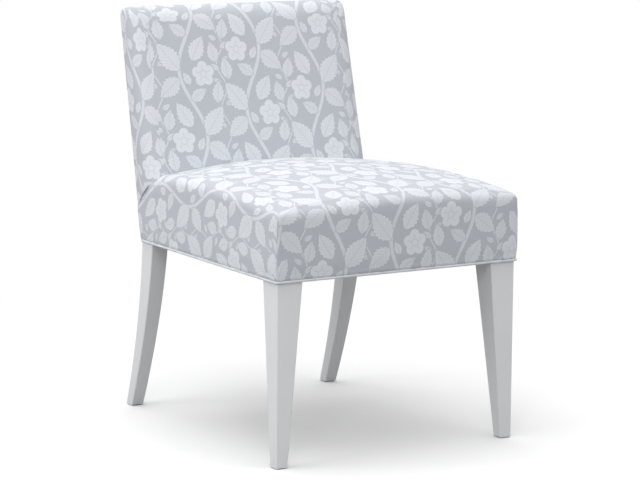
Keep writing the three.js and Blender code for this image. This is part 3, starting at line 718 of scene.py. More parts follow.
def cut_and_hemmed(name, points, faces, uv, values, steps):
    """A cover kept where values are positive, with its cut edge turned in by steps."""
    points, faces, uv, cut = clip_mesh(points, faces, uv, values)
    hem(points, faces, uv, cut, steps)
    points, faces = drop_loose(points, faces)
    return make_object(name, points, faces, uv)


def make_seat_cover():
    """The seat's cover: filled, sewn and tacked down, then cut round the back."""
    skin = seat_skin()
    points = np.array(skin.points)
    points = padded_out(points, skin.faces, held_seat(points), (0, 0, 1))
    outward = normals_of(points, skin.faces)
    points = drawn_under_back(puckered(sewn_corners(points, outward), outward))
    x, y, z = points.T
    front_of_back = back_face_y(x, np.maximum(z, BAND_TOP)) - FACE_GAP - y
    above_seam = tuck_z(y) + SEAT_LAP - z
    before_rear = rear_y(z) - REAR_GAP - y
    dip = CREASE_DIP * np.exp(-np.maximum(front_of_back, 0) / CREASE_DIP_REACH)
    points[:, 2] -= dip * smooth(CREASE_HEIGHT - 0.05, CREASE_HEIGHT - 0.02, z)
    values = np.minimum(np.maximum(front_of_back, above_seam), before_rear)
    return cut_and_hemmed("seat_cover_cloth", points, skin.faces, skin.uv, values, seat_hem_steps)


def make_back_cover():
    """The back's cover: filled, then cut along the seam under it."""
    skin = back_skin()
    points = np.array(skin.points)
    _, y, z = points.T
    held = np.exp(-((np.maximum(rear_y(z) - y, 0) / REAR_PIN_REACH) ** 2))
    faces, uv = turned_over(skin.faces, skin.uv)
    points = padded_out(points, faces, held, (0, -1, 0))
    values = points[:, 2] - tuck_z(points[:, 1]) + BACK_LAP
    return cut_and_hemmed("back_cover_cloth", points, faces, uv, values, back_hem_steps)


# Outside back: it lies inside the covers' edges
PANEL_INSET = 0.0062
PANEL_THICKNESS = 0.0012
PANEL_HALF = BACK_X + COVER_PROUD - PANEL_INSET
PANEL_TOP = CHAIR_HEIGHT - PANEL_INSET
PANEL_COUNTS = (70, 5, 64)
# How far in and how far forward its turned edge lies, from its inner end to its face
PANEL_FOLD = ((0.0006, 0.003), (0.0001, 0.0016), (0.0, 0.0009), (0.0006, 0.0003))
PANEL_RIM = 0.002
PANEL_SWELL = 0.0018


def make_outside_back():
    """The outside back: a taut panel with its edges turned in."""

    def ring(depth, radius):
        half = PANEL_HALF - depth
        return u_line(half, HEM_LOW, half, PANEL_TOP - depth, radius, PANEL_COUNTS)

    def lift(plan):
        across = np.clip(np.abs(plan[:, 0]) / (PANEL_HALF - PANEL_RIM), 0, 1)
        up = np.clip((plan[:, 1] - HEM_LOW) / (PANEL_TOP - HEM_LOW), 0, 1)
        full = (1 - across**4) * (1 - np.abs(2 * up - 1) ** 4)
        return stand(plan, -PANEL_SWELL * full)

    rows = [stand(ring(depth, 0.014), thickness) for depth, thickness in PANEL_FOLD]
    rim = ring(PANEL_RIM, 0.013)
    skin = Skin([*rows, lift(rim)], rim, PANEL_COUNTS, lift)
    return make_object("outside_back_cloth", np.array(skin.points), skin.faces, skin.uv)


def closed_ring(half_near, near, half_far, far, radius, steps):
    """A line all round four sides, with rounded corners."""
    corners = np.array([[half_near, near], [half_far, far], [-half_far, far], [-half_near, near]])
    around = [(corners[i - 1], corners[i], corners[(i + 1) % 4]) for i in range(4)]
    arcs = [bend(*three, radius, 8) for three in around]
    parts = []
    for arc, following in zip(arcs, arcs[1:] + arcs[:1]):
        parts += [arc[:-1], span(arc[-1], following[0], steps)[:-1]]
    return np.concatenate(parts)


def welt_tapes():
    """The welt's flange under each rail between two legs: its ends and the way inward."""
    near_x, near = FRONT_WIDTH / 2 - FRONT_LEG - LEG_GAP, -0.001
    yield np.array([-near_x, near]), np.array([near_x, near]), np.array([0, 1])
    far_x, far = REAR_WIDTH / 2 - REAR_LEG_WIDTH - LEG_GAP, FRAME_DEPTH + 0.001
    yield np.array([far_x, far]), np.array([-far_x, far]), np.array([0, -1])
    near_y, far_y = FRONT_LEG + LEG_GAP, FRAME_DEPTH - REAR_LEG_DEPTH - LEG_GAP
    for side in (-1, 1):
        start = np.array([side * (side_x(near_y) + 0.001), near_y])
        end = np.array([side * (side_x(far_y) + 0.001), far_y])
        yield (start, end, np.array([-1, 0])) if side > 0 else (end, start, np.array([1, 0]))


def add_slab(points, faces, uv, start, end, inward):
    """A thin strip of cloth under a rail, with a slightly uneven inner edge."""
    steps = 40
    first = len(points)
    for i in range(steps + 1):
        middle = start + (end - start) * i / steps
        inner = middle + inward * (TAPE_WIDTH + 0.0008 * math.sin(i * 1.9))
        points.extend((*spot, LEG_HEIGHT + TAPE_LOW) for spot in (middle, inner))
        points.extend((*spot, LEG_HEIGHT + TAPE_HIGH) for spot in (inner, middle))
    for face in tube_faces(first, steps + 1, 4, (1, 0, 3, 2)):
        faces.append(face)
        uv.extend((points[v][0] + 0.3 * points[v][2], points[v][1]) for v in face)
    last = first + steps * 4
    for face in ([first + k for k in range(4)], [last + k for k in (3, 2, 1, 0)]):
        faces.append(face)
        uv.extend((points[v][0], points[v][1]) for v in face)


def make_welt():
    """The welt round the foot of the upholstery, with its flange under the rails."""
    out = WELT_PROUD + 0.002
    half_rear = side_x(FRAME_DEPTH) + WELT_PROUD
    plan = closed_ring(side_x(0) + out, -out, half_rear, FRAME_DEPTH + WELT_PROUD, WELT_CORNER, 84)
    ahead = np.roll(plan, -1, axis=0) - np.roll(plan, 1, axis=0)
    ahead /= np.linalg.norm(ahead, axis=1)[:, None]
    outward = np.column_stack([ahead[:, 1], -ahead[:, 0]])
    step = np.linalg.norm(np.roll(plan, -1, axis=0) - plan, axis=1)
    along = np.concatenate([[0], np.cumsum(step)])
    points, faces, uv = [], [], []
    for i, (x, y) in enumerate(plan):
        uneven = 0.00009 * math.sin(along[i] * 410) + 0.00007 * math.sin(along[i] * 173 + 1)
        radius = WELT_RADIUS - 0.0001 + uneven
        for k in range(WELT_SIDES):
            turn = k / WELT_SIDES * 2 * math.pi
            spread = radius * math.cos(turn)
            z = LEG_HEIGHT + WELT_RADIUS + radius * math.sin(turn)
            points.append((x + outward[i, 0] * spread, y + outward[i, 1] * spread, z))
    count = len(plan)
    round_length = 2 * math.pi * WELT_RADIUS
    for a, b, c, d in cells(count + 1, WELT_SIDES + 1):
        around = a, d, c, b
        faces.append([row % count * WELT_SIDES + column % WELT_SIDES for row, column in around])
        uv.extend((along[row], column / WELT_SIDES * round_length) for row, column in around)
    for start, end, inward in welt_tapes():
        add_slab(points, faces, uv, start, end, inward)
    return make_object("seat_welt_cord", np.array(points), faces, uv)


# Dust cover: its edges and the ends of its notches, and the staples along it
DUST_THICKNESS = 0.0008
DUST_MARGIN = 0.0095
DUST_NEAR = 0.0095
DUST_FAR = 0.5745
NOTCH_NEAR = 0.0543
NOTCH_FAR = 0.5387
NOTCH_NEAR_X = 0.2242
NOTCH_FAR_X = 0.2227
SAG = 0.0034
SAG_UNEVEN = 0.0005
STAPLE_STEP = 0.031
STAPLE_INSET = 0.0065
STAPLE_NEAR = 0.080


def notch_x(y):
    """Half the width that the notches leave."""
    share = (y - NOTCH_NEAR) / (NOTCH_FAR - NOTCH_NEAR)
    return NOTCH_NEAR_X + (NOTCH_FAR_X - NOTCH_NEAR_X) * share


def cloth_edge_x(y):
    """The dust cover's side edge, drawn in a little between one staple and the next."""
    return side_x(y) - DUST_MARGIN - 0.0005 * np.abs(np.sin(y * math.pi / STAPLE_STEP))


def dust_drop(x, y):
    """How far the dust cover hangs below the rails."""
    inner = side_x(y) - 0.030
    across = np.clip(1 - (x / inner) ** 2, 0, 1)
    middle = (DUST_NEAR + DUST_FAR) / 2
    half = (DUST_FAR - DUST_NEAR) / 2 - 0.020
    along = np.clip(1 - ((y - middle) / half) ** 2, 0, 1)
    pulls = np.sin(x * 34 + 9 * y) * np.sin(y * 21 - 4 * x)
    return (across * along) ** 0.7 * (SAG + SAG_UNEVEN * pulls)


def make_dust_cover():
    """A thin sheet under the seat, notched round the legs, that sags inside the rails."""
    inner = np.linspace(-1, 1, 45)
    outer = np.linspace(0, 1, 6)[1:]
    depths = np.concatenate(
        [
            np.linspace(DUST_NEAR, NOTCH_NEAR, 6)[:-1],
            np.linspace(NOTCH_NEAR, NOTCH_FAR, 49)[:-1],
            np.linspace(NOTCH_FAR, DUST_FAR, 6),
        ]
    )
    points = []
    for y in depths:
        post, edge = notch_x(y), cloth_edge_x(y)
        strip = post + (edge - post) * outer
        xs = np.concatenate([-strip[::-1], inner * post, strip])
        pull = 0.0005 * np.abs(np.sin(xs * math.pi / STAPLE_STEP))
        at_end = (y <= DUST_NEAR) * 1.0 - (y >= DUST_FAR)
        drop = dust_drop(xs, y)
        z = LEG_HEIGHT + DUST_THICKNESS - drop
        points.extend(np.column_stack([xs, y + pull * at_end, z]))
    count = len(inner) + 2 * len(outer)
    faces, uv = [], []
    for corners in cells(len(depths), count):
        j, i = corners[0]
        in_notch = depths[j + 1] <= NOTCH_NEAR + 1e-6 or depths[j] >= NOTCH_FAR - 1e-6
        beside = i < len(outer) or i >= count - 1 - len(outer)
        if not (in_notch and beside):
            face = [row * count + column for row, column in corners]
            faces.append(face)
            uv.extend((points[v][0], points[v][1]) for v in face)
    points, faces = drop_loose(points, faces)
    return make_object("dust_cover_cloth", points, faces, uv)


def staple_places():
    """Where each staple lies, and the direction of its crown."""
    near, far = DUST_NEAR + STAPLE_INSET, DUST_FAR - STAPLE_INSET
    for i in range(-6, 7):
        yield (i * STAPLE_STEP, near), (1, 0)
        yield (i * STAPLE_STEP, far), (1, 0)
    for i in range(15):
        y = STAPLE_NEAR + i * STAPLE_STEP
        for side in (-1, 1):
            yield (side * (side_x(y) - DUST_MARGIN - STAPLE_INSET), y), (0, 1)


def make_staples():
    """Flat wire staples, each a bent bar with its legs in the rail."""
    half, radius, wide, thick, leg = 0.0052, 0.0007, 0.0006, 0.00028, 0.004
    path = [(-half, leg), (-half, radius)]
    path += [(-half + radius * 0.3, radius * 0.3), (-half + radius, 0)]
    path += [(-x, z) for x, z in reversed(path)]
    points, faces = [], []
    for (x, y), (ahead_x, ahead_y) in staple_places():
        first = len(points)
        for along, up in path:
            for across, out in ((-wide, -1), (wide, -1), (wide, 1), (-wide, 1)):
                shift = along - math.copysign(1, along) * thick * (out < 0) * (up > 0)
                low = up + thick * out * (up < radius)
                px = x + ahead_x * shift - ahead_y * across
                py = y + ahead_y * shift + ahead_x * across
                points.append((px, py, LEG_HEIGHT - thick + low))
        faces.extend(tube_faces(first, len(path), 4, range(4)))
        last = first + (len(path) - 1) * 4
        faces.append([first + k for k in (3, 2, 1, 0)])
        faces.append([last + k for k in range(4)])
    return make_object("dust_cover_staples", np.array(points), faces, None, False)


# Node trees


class Maths:
    """Writes sums in a node tree; each call adds one node and returns its socket."""

    def __init__(self, tree):
        self.tree = tree

    def node(self, kind, **settings):
        made = self.tree.nodes.new(kind)
        for name, value in settings.items():
            setattr(made, name, value)
        return made

    def feed(self, socket, value):
        if isinstance(value, bpy.types.NodeSocket):
            self.tree.links.new(value, socket)
        else:
            socket.default_value = value

    def fed(self, kind, *values, **settings):
        """A node whose inputs are fed in their order, as its first output."""
        made = self.node(kind, **settings)
        for socket, value in zip(made.inputs, values):
            self.feed(socket, value)
        return made.outputs[0]

    def do(self, operation, *values):
        return self.fed("ShaderNodeMath", *values, operation=operation)

    def add(self, a, b):
        return self.do("ADD", a, b)

    def sub(self, a, b):
        return self.do("SUBTRACT", a, b)

    def mul(self, a, b):
        return self.do("MULTIPLY", a, b)

    def mul_add(self, a, b, c):
        return self.do("MULTIPLY_ADD", a, b, c)

    def step(self, value, low, high, low_to=0.0, high_to=1.0):
        """A smooth step from low to high."""
        made = self.node("ShaderNodeMapRange", interpolation_type="SMOOTHSTEP")
        for name, item in zip(
            ("Value", "From Min", "From Max", "To Min", "To Max"),
            (value, low, high, low_to, high_to),
        ):
            self.feed(made.inputs[name], item)
        return made.outputs["Result"]


def new_group(name, inputs):
    """A node group that works out how much of the motif's colour shows."""
    tree = bpy.data.node_groups.new(name, "ShaderNodeTree")
    for item in inputs:
        tree.interface.new_socket(item, in_out="INPUT", socket_type="NodeSocketFloat")
    tree.interface.new_socket("Print", in_out="OUTPUT", socket_type="NodeSocketFloat")
    made = Maths(tree)
    return tree, made, made.node("NodeGroupInput").outputs, made.node("NodeGroupOutput").inputs


# Printed vine. Lengths are in metres on the cloth.
COLUMN = 0.150
HALF_REPEAT = 0.135
COLUMN_STEP = 0.087
SPRIG_REPEAT = 0.045
VINE_SWING = 0.024
EDGE_SOFT = 0.0008
MOTIF_INPUTS = ("X", "V", "X0", "V0", "Cosine", "Sine")


def place_motif(m, given, repeat):
    """Place along and across a motif that repeats up the stem on alternate sides."""
    x, v, x0, v0, cosine, sine = (given[name] for name in MOTIF_INPUTS)
    raised = m.sub(v, v0)
    turn = m.do("ROUND", m.mul(raised, 1 / repeat))
    rise = m.mul_add(turn, -repeat, raised)
    side = m.mul_add(m.do("MODULO", m.do("ABSOLUTE", turn), 2.0), -2.0, 1.0)
    shift = m.sub(m.mul(side, x), x0)
    along = m.mul_add(shift, cosine, m.mul(rise, sine))
    across = m.sub(m.mul(rise, cosine), m.mul(shift, sine))
    return along, across


def lay_over(m, under, field, tone):
    """Lays a motif over the print, with a thin line of ground round it."""
    cleared = m.mul(under, m.step(field, -0.0024, -0.0012, 1.0, 0.0))
    return m.do("MAXIMUM", cleared, m.mul(tone, m.step(field, 0.0, EDGE_SOFT)))


def leaf_group(name, repeat, serration, veined):
    """A leaf with a rib, and with veins where it is veined."""
    inputs = (*MOTIF_INPUTS, "Length", "Width", "Tone", "Under")
    tree, m, given, result = new_group(name, inputs)
    along, across = place_motif(m, given, repeat)
    off_rib = m.do("ABSOLUTE", across)
    t = m.do("DIVIDE", along, given["Length"])
    lens = m.mul(m.sub(1.0, m.mul(t, t)), m.mul_add(t, -0.35, 1.0))
    width = m.mul(given["Width"], lens)
    if serration:
        waves = m.do("SINE", m.mul(along, 720.0))
        width = m.mul(width, m.mul_add(waves, serration, 1.0))
    end = m.mul(m.sub(given["Length"], m.do("ABSOLUTE", along)), 2.0)
    field = m.do("MINIMUM", m.sub(width, off_rib), end)
    lines = m.step(off_rib, 0.0011, 0.0005)
    if veined:
        ranks = m.do("FRACT", m.mul(m.mul_add(off_rib, -1.1, along), 1 / 0.0085))
        vein = m.step(m.do("ABSOLUTE", m.sub(ranks, 0.5)), 0.12, 0.05)
        inner = m.step(field, 0.002, 0.004)
        lines = m.do("MAXIMUM", lines, m.mul(m.mul(vein, inner), 0.75))
    tone = m.mul(given["Tone"], m.mul_add(lines, -0.5, 1.0))
    m.feed(result["Print"], lay_over(m, given["Under"], field, tone))
    return tree


def flower_group():
    """A blossom of five petals round a ring."""
    tree, m, given, result = new_group("blossom", (*MOTIF_INPUTS, "Radius", "Tone", "Under"))
    along, across = place_motif(m, given, HALF_REPEAT)
    reach = m.do("SQRT", m.mul_add(along, along, m.mul(across, across)))
    angle = m.do("ARCTAN2", across, along)
    petal = m.do("POWER", m.do("ABSOLUTE", m.do("COSINE", m.mul(angle, 2.5))), 0.7)
    edge = m.mul(given["Radius"], m.mul_add(petal, 0.30, 0.70))
    field = m.sub(edge, reach)
    part = m.do("DIVIDE", reach, given["Radius"])
    spoke = m.do("FRACT", m.mul_add(angle, 5 / (2 * math.pi), 0.5))
    spoke_gap = m.mul(m.do("ABSOLUTE", m.sub(spoke, 0.5)), reach)
    spokes = m.mul(m.step(spoke_gap, 0.0010, 0.0004), m.step(part, 0.30, 0.36))
    spokes = m.mul(spokes, m.step(part, 0.72, 0.60))
    ring = m.step(m.do("ABSOLUTE", m.sub(part, 0.26)), 0.045, 0.02)
    tone = m.mul(given["Tone"], m.mul_add(m.do("MAXIMUM", spokes, ring), -0.5, 1.0))
    m.feed(result["Print"], lay_over(m, given["Under"], field, tone))
    return tree


# Leaves: place, turn in degrees, half length, half width and tone
VINE_LEAVES = (
    (0.046, 0.098, 52, 0.037, 0.021, 0.92),
    (0.050, 0.034, -38, 0.031, 0.018, 0.86),
    (-0.024, 0.113, 122, 0.030, 0.017, 0.95),
    (-0.060, 0.104, 78, 0.022, 0.013, 0.84),
    (-0.062, 0.022, 100, 0.024, 0.013, 0.88),
    (-0.016, 0.018, 148, 0.022, 0.012, 0.82),
    (0.008, 0.052, 60, 0.015, 0.008, 0.90),
)
SPRIG_LEAVES = (
    (0.014, 0.020, 35, 0.0125, 0.0058, 0.84),
    (-0.012, 0.036, 150, 0.0110, 0.0052, 0.82),
)
# Blossoms: place, turn in degrees, radius and tone
BLOSSOMS = ((-0.032, 0.060, 15, 0.027, 1.0),)


def lay_motifs(m, motif, x, rise, places, under):
    """Lays a motif over the print at each of its places."""
    for x0, v0, turn, *sizes in places:
        angle = math.radians(turn)
        values = (x, rise, x0, v0, math.cos(angle), math.sin(angle), *sizes, under)
        under = m.fed("ShaderNodeGroup", *values, node_tree=motif)
    return under


def print_group():
    """The whole print: how much of the motif's colour shows at a place on the cloth."""
    tree, m, given, result = new_group("vine_print", ("U", "V"))
    leaf = leaf_group("vine_leaf", HALF_REPEAT, 0.09, True)
    leaflet = leaf_group("sprig_leaf", SPRIG_REPEAT, 0.0, False)
    blossom = flower_group()
    u, v = given["U"], given["V"]
    # Thin sprigs on the edges of the columns
    column = m.do("ROUND", m.mul(u, 1 / COLUMN))
    x = m.mul_add(column, -COLUMN, u)
    rise = m.add(m.mul_add(column, COLUMN_STEP, v), 0.04)
    wave = m.mul(m.do("SINE", m.mul(rise, math.pi / SPRIG_REPEAT)), 0.009)
    stem = m.mul_add(m.do("ABSOLUTE", m.sub(x, wave)), -0.8, 0.0016)
    value = m.mul(m.step(stem, 0.0, EDGE_SOFT), 0.8)
    value = lay_motifs(m, leaflet, x, rise, SPRIG_LEAVES, value)
    # Main vine up the middle of each column
    column = m.do("FLOOR", m.mul(u, 1 / COLUMN))
    x = m.sub(m.mul_add(column, -COLUMN, u), COLUMN / 2)
    rise = m.mul_add(column, COLUMN_STEP, v)
    phase = m.mul(rise, math.pi / HALF_REPEAT)
    wave = m.mul(m.do("SINE", phase), VINE_SWING)
    slope = m.mul(m.do("COSINE", phase), VINE_SWING * math.pi / HALF_REPEAT)
    steep = m.do("SQRT", m.mul_add(slope, slope, 1.0))
    off = m.do("DIVIDE", m.do("ABSOLUTE", m.sub(x, wave)), steep)
    line = m.step(m.do("ABSOLUTE", m.sub(off, 0.0019)), 0.0008, 0.0003, 0.9, 0.6)
    value = lay_over(m, value, m.sub(0.0042, off), line)
    value = lay_motifs(m, leaf, x, rise, VINE_LEAVES, value)
    m.feed(result["Print"], lay_motifs(m, blossom, x, rise, BLOSSOMS, value))
    return tree


# Materials


def srgb(*values):
    """Linear colour from the values that a picture shows, from 0 to 255."""
    linear = []
    for value in values:
        share = value / 255
        linear.append(share / 12.92 if share <= 0.04045 else ((share + 0.055) / 1.055) ** 2.4)
    return (*linear, 1.0)


def new_material(name, base, roughness, metallic=0.0):
    material = bpy.data.materials.new(name)
    material.use_nodes = True
    m = Maths(material.node_tree)
    shader = material.node_tree.nodes["Principled BSDF"]
    shader.inputs["Base Color"].default_value = base
    shader.inputs["Roughness"].default_value = roughness
    shader.inputs["Metallic"].default_value = metallic
    return material, m, shader


def mix_colour(m, share, first, second):
    made = m.node("ShaderNodeMix", data_type="RGBA")
    m.feed(made.inputs["Factor"], share)
    m.feed(made.inputs["A"], first)
    m.feed(made.inputs["B"], second)
    return made.outputs["Result"]


def paint_between(m, shader, share, first, second):
    """Lets a surface's colour run from one to another."""
    m.feed(shader.inputs["Base Color"], mix_colour(m, share, first, second))


def noise(m, vector, scale, detail):
    made = m.node("ShaderNodeTexNoise")
    m.feed(made.inputs["Vector"], vector)
    made.inputs["Scale"].default_value = scale
    made.inputs["Detail"].default_value = detail
    return made.outputs["Fac"]


def bump(m, shader, height, distance, strength):
    made = m.node("ShaderNodeBump")
    made.inputs["Distance"].default_value = distance
    made.inputs["Strength"].default_value = strength
    m.feed(made.inputs["Height"], height)
    m.feed(shader.inputs["Normal"], made.outputs["Normal"])


def streaks(m, vector, scales, detail):
    """Noise with a scale of its own in each direction."""
    made = m.node("ShaderNodeMapping")
    m.feed(made.inputs["Vector"], vector)
    made.inputs["Scale"].default_value = scales
    return noise(m, made.outputs["Vector"], 1.0, detail)


def object_place(m):
    return m.node("ShaderNodeTexCoord").outputs["Object"]


def cloth_place(m):
    made = m.node("ShaderNodeAttribute", attribute_name="cloth_place")
    parts = m.node("ShaderNodeSeparateXYZ")
    m.feed(parts.inputs[0], made.outputs["Vector"])
    return made.outputs["Vector"], parts.outputs["X"], parts.outputs["Y"]


PRINT = print_group()
GROUND = srgb(188, 192, 199)
MOTIF = srgb(219, 223, 228)
THREAD_PITCH = 0.0011


def weave(m, shader, colour, vector, u, v):
    """Gives a cloth its colour in a plain weave with uneven threads."""
    across = m.do("SINE", m.mul(u, 2 * math.pi / THREAD_PITCH))
    along = m.do("SINE", m.mul(v, 2 * math.pi / THREAD_PITCH))
    slub = streaks(m, vector, (60.0, 900.0, 1.0), 3.0)
    slub_up = streaks(m, vector, (900.0, 60.0, 1.0), 3.0)
    height = m.add(m.mul(m.mul(across, along), 0.5), m.add(slub, slub_up))
    shade = m.node("ShaderNodeVectorMath", operation="SCALE")
    m.feed(shade.inputs[0], colour)
    m.feed(shade.inputs["Scale"], m.mul_add(m.sub(slub, slub_up), 0.10, 1.0))
    m.feed(shader.inputs["Base Color"], shade.outputs[0])
    shader.inputs["Specular IOR Level"].default_value = 0.2
    bump(m, shader, height, 0.0002, 0.6)


def fabric_material(name, u_shift, v_shift):
    material, m, shader = new_material(name, GROUND, 0.88)
    vector, u, v = cloth_place(m)
    places = m.add(u, u_shift), m.add(v, v_shift)
    figure = m.fed("ShaderNodeGroup", *places, node_tree=PRINT)
    weave(m, shader, mix_colour(m, figure, GROUND, MOTIF), vector, u, v)
    shader.inputs["Sheen Weight"].default_value = 0.15
    shader.inputs["Sheen Roughness"].default_value = 0.5
    return material


def piping_material():
    """The printed cloth cut on the bias round the cord, where little of the ground shows; it is
    also paler than the cushions' cloth as painted highlight, standing in for the light that the
    cord's top catches.
    """
    material, m, shader = new_material("printed_piping", MOTIF, 0.88)
    vector, along, around = cloth_place(m)
    patches = m.step(streaks(m, vector, (45.0, 30.0, 1.0), 1.0), 0.42, 0.62)
    # Mostly the motif's pale colour: partly the bias-cut print, partly painted highlight on the
    # cord
    colour = mix_colour(m, m.mul_add(patches, -0.45, 1.0), GROUND, MOTIF)
    weave(m, shader, colour, vector, m.add(along, around), m.sub(along, around))
    return material


def paint_material():
    material, m, shader = new_material("pale_paint", srgb(223, 225, 228), 0.38)
    place_in_part = object_place(m)
    grain = streaks(m, place_in_part, (260.0, 260.0, 14.0), 4.0)
    peel = noise(m, place_in_part, 420.0, 2.0)
    patch = noise(m, place_in_part, 9.0, 3.0)
    paint_between(m, shader, patch, srgb(219, 222, 225), srgb(226, 228, 230))
    m.feed(shader.inputs["Roughness"], m.mul_add(patch, 0.14, 0.31))
    bump(m, shader, m.add(m.mul(grain, 0.8), m.mul(peel, 0.35)), 0.00012, 0.5)
    return material


def wood_material():
    material, m, shader = new_material("bare_wood", srgb(201, 168, 120), 0.7)
    place_in_part = object_place(m)
    grain = streaks(m, place_in_part, (12.0, 160.0, 160.0), 5.0)
    figure = m.step(grain, 0.35, 0.7)
    paint_between(m, shader, figure, srgb(178, 142, 96), srgb(216, 186, 140))
    bump(m, shader, grain, 0.0003, 0.5)
    return material


def foam_material():
    material, m, shader = new_material("open_foam", srgb(236, 226, 194), 0.95)
    cells = m.node("ShaderNodeTexVoronoi")
    m.feed(cells.inputs["Vector"], object_place(m))
    cells.inputs["Scale"].default_value = 700.0
    spread = m.step(cells.outputs["Distance"], 0.1, 0.6)
    # Each cell darkens towards its middle, where the bump sinks it: painted shade in the foam's
    # pores
    paint_between(m, shader, spread, srgb(214, 202, 166), srgb(240, 231, 203))
    bump(m, shader, spread, 0.0004, 0.6)
    return material


def coarse_weave_material(name, light, dark, pitch):
    material, m, shader = new_material(name, light, 0.95)
    parts = m.node("ShaderNodeSeparateXYZ")
    m.feed(parts.inputs[0], object_place(m))
    across, along, upward = (
        m.do("SINE", m.mul(part, 2 * math.pi / pitch)) for part in parts.outputs
    )
    height = m.add(m.mul(across, along), m.mul(across, upward))
    # The weave's low places take the dark colour: painted shade in the hollows between the threads
    paint_between(m, shader, m.step(height, -1.0, 1.0), dark, light)
    bump(m, shader, height, 0.0003, 0.7)
    return material


def black_cloth_material():
    material, m, shader = new_material("dust_cloth", srgb(44, 44, 47), 0.95)
    fibres = noise(m, object_place(m), 1500.0, 3.0)
    paint_between(m, shader, fibres, srgb(33, 33, 36), srgb(58, 58, 62))
    bump(m, shader, fibres, 0.0002, 0.6)
    return material


def steel_material(name, light, dark, roughness):
    material, m, shader = new_material(name, light, roughness, 1.0)
    brushed = streaks(m, object_place(m), (900.0, 60.0, 900.0), 3.0)
    paint_between(m, shader, brushed, dark, light)
    m.feed(shader.inputs["Roughness"], m.mul_add(brushed, 0.15, roughness - 0.07))
    return material


def nylon_material():
    material, m, shader = new_material("glide_nylon", srgb(217, 214, 204), 0.45)
    scuff = noise(m, object_place(m), 600.0, 3.0)
    paint_between(m, shader, scuff, srgb(203, 199, 188), srgb(224, 221, 212))
    m.feed(shader.inputs["Roughness"], m.mul_add(scuff, 0.3, 0.32))
    return material


def paint_nodes():
    """Gives each carried-over node whose slot has a finish here the material of that slot."""
    # The second colour of burlap and webbing is painted shade for the hollows of their weave
    burlap = coarse_weave_material("burlap", srgb(190, 163, 116), srgb(140, 115, 76), 0.003)
    webbing = coarse_weave_material("webbing", srgb(150, 133, 102), srgb(104, 90, 66), 0.002)
    spring = steel_material("spring_wire", srgb(128, 132, 138), srgb(92, 95, 100), 0.4)
    zinc = steel_material("zinc_plate", srgb(190, 193, 198), srgb(160, 163, 168), 0.35)
    finishes = {
        "painted_wood": paint_material(),
        "raw_wood": wood_material(),
        "foam": foam_material(),
        "burlap": burlap,
        "webbing": webbing,
        "dust_cover": black_cloth_material(),
        "spring_steel": spring,
        "zinc_steel": zinc,
        "nylon": nylon_material(),
    }
    for part in frame["record"]["subparts"]:
        finish = finishes.get(part["material_slot"])
        if finish:
            item = frame["nodes"][part["node"]]
            item.data.materials.clear()
            item.data.materials.append(finish)
    return finishes


def settle(item, material, slot, *nodes):
    """Hands a finished piece to the frame."""
    item.data.materials.clear()
    item.data.materials.append(material)
    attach(item, "root")
    if nodes:
        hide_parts(*nodes)


# Studio: the camera's place, its yaw, pitch and roll in degrees, and its focal length in mm
CAMERA_PLACE = Vector((-2.8526, FRONT_Y - 4.3241, 1.2546))
CAMERA_TURNS = (31.69, 9.07, 0.43)
CAMERA_LENS = 150.24
# How strongly the white world lights the chair
FILL_STRENGTH = 0.76
# Lamps: place, what they aim at, width and height, and watts
LAMPS = {
    "overhead": ((-0.2, 0.1, 3.2), (0, 0, 0.4), (3.0, 3.0), 46),
    "left_side": ((-3.2, 0.3, 1.8), (0, 0.1, 0.45), (2.0, 1.8), 28),
    "left_front": ((-2.2, -3.2, 2.7), (0, 0, 0.45), (1.6, 1.2), 27),
}
# Greys of the floor for the light that it throws back and for the camera
FLOOR_BOUNCE = (0.38, 0.38, 0.38, 1)
FLOOR_SEEN = (0.95, 0.95, 0.95, 1)
# Distances from the chair between which the floor turns plain white
FLOOR_FADE = (0.7, 1.6)
FLOOR_HALF = 40.0
WHITE = (1, 1, 1, 1)


def make_camera():
    yaw, pitch, roll = (math.radians(turn) for turn in CAMERA_TURNS)
    level = Vector((math.sin(yaw), math.cos(yaw), 0))
    right = Vector((math.cos(yaw), -math.sin(yaw), 0))
    forward = level * math.cos(pitch) - Vector((0, 0, math.sin(pitch)))
    up = level * math.sin(pitch) + Vector((0, 0, math.cos(pitch)))
    turned_right = right * math.cos(roll) + up * math.sin(roll)
    turned_up = up * math.cos(roll) - right * math.sin(roll)
    data = bpy.data.cameras.new("camera")
    data.lens = CAMERA_LENS
    data.sensor_width = 36.0
    data.clip_end = 200.0
    item = new_object("camera", data)
    place_in_space = Matrix((turned_right, turned_up, -forward)).transposed().to_4x4()
    place_in_space.translation = CAMERA_PLACE
    item.matrix_world = place_in_space
    bpy.context.scene.camera = item


def area_light(name, place_at, aim, size, watts):
    data = bpy.data.lights.new(name, "AREA")
    data.shape = "RECTANGLE"
    data.size, data.size_y = size
    data.energy = watts
    item = new_object(name, data)
    item.location = place_at
    item.rotation_euler = (Vector(aim) - Vector(place_at)).to_track_quat("-Z", "Y").to_euler()


def blended(m, share, first, second):
    """A mix of two shaders."""
    return m.fed("ShaderNodeMixShader", share, first, second)


def make_world():
    world = bpy.data.worlds.new("studio")
    world.use_nodes = True
    bpy.context.scene.world = world
    tree = world.node_tree
    tree.nodes.clear()
    m = Maths(tree)
    rays = m.node("ShaderNodeLightPath")
    seen = m.do("MAXIMUM", rays.outputs["Is Camera Ray"], rays.outputs["Is Glossy Ray"])
    seen = m.do("MAXIMUM", seen, rays.outputs["Is Transmission Ray"])
    fill = m.fed("ShaderNodeBackground", WHITE, FILL_STRENGTH)
    white = m.fed("ShaderNodeBackground", WHITE, 1.0)
    m.feed(m.node("ShaderNodeOutputWorld").inputs[0], blended(m, seen, fill, white))


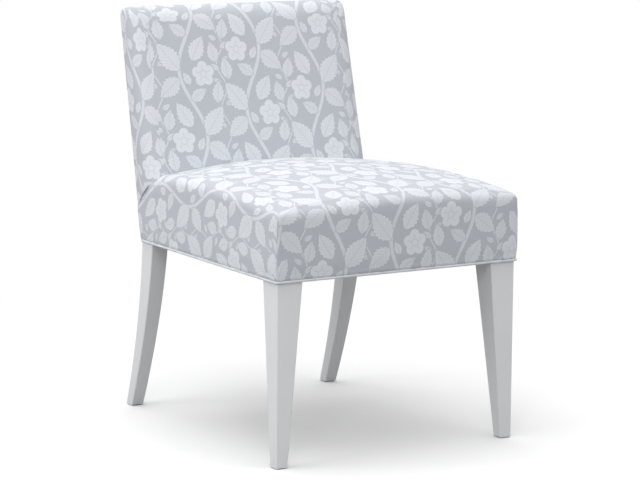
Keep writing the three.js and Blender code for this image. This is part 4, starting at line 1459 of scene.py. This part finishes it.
def make_floor():
    half = FLOOR_HALF
    points = [(-half, -half, 0), (half, -half, 0), (half, half, 0), (-half, half, 0)]
    mesh = new_mesh("floor", points, [(0, 1, 2, 3)])
    item = new_object("floor", mesh)
    item.location.z = -0.0002
    material = bpy.data.materials.new("floor_paper")
    material.use_nodes = True
    tree = material.node_tree
    tree.nodes.clear()
    m = Maths(tree)
    seen = m.node("ShaderNodeLightPath").outputs["Is Camera Ray"]
    paper = m.fed("ShaderNodeBsdfDiffuse", mix_colour(m, seen, FLOOR_BOUNCE, FLOOR_SEEN))
    far_white = m.fed("ShaderNodeEmission", WHITE)
    reach = m.node("ShaderNodeVectorMath", operation="LENGTH")
    m.feed(reach.inputs[0], object_place(m))
    far = m.mul(seen, m.step(reach.outputs["Value"], *FLOOR_FADE))
    from_above = blended(m, far, paper, far_white)
    from_below = m.node("ShaderNodeNewGeometry").outputs["Backfacing"]
    clear = m.fed("ShaderNodeBsdfTransparent")
    out = m.node("ShaderNodeOutputMaterial")
    m.feed(out.inputs[0], blended(m, from_below, from_above, clear))
    mesh.materials.append(material)


def make_studio():
    make_camera()
    make_world()
    make_floor()
    for name, setting in LAMPS.items():
        area_light(name, *setting)
    bpy.context.scene.view_settings.view_transform = "Standard"


# Making


make_studio()
FINISHES = paint_nodes()
SEAT_CLOTH = fabric_material("printed_seat_cloth", 0.075, 0.02)
BACK_CLOTH = fabric_material("printed_back_cloth", 0.075, 0.11)

seat_cover = make_seat_cover()
thicken(seat_cover, COVER_THICKNESS)
settle(seat_cover, SEAT_CLOTH, "upholstery", "seat_cover", "seat_foam")

back_cover = make_back_cover()
thicken(back_cover, COVER_THICKNESS)
settle(back_cover, BACK_CLOTH, "upholstery", "back_cover", "back_foam")

outside_back = make_outside_back()
thicken(outside_back, PANEL_THICKNESS)
settle(outside_back, BACK_CLOTH, "upholstery", "outside_back_panel")

welt = make_welt()
settle(welt, piping_material(), "piping", "seat_welt")

dust_cover = make_dust_cover()
thicken(dust_cover, DUST_THICKNESS)
settle(dust_cover, FINISHES["dust_cover"], "dust_cover", "dust_cover")
staples = make_staples()
settle(staples, FINISHES["zinc_steel"], "zinc_steel")
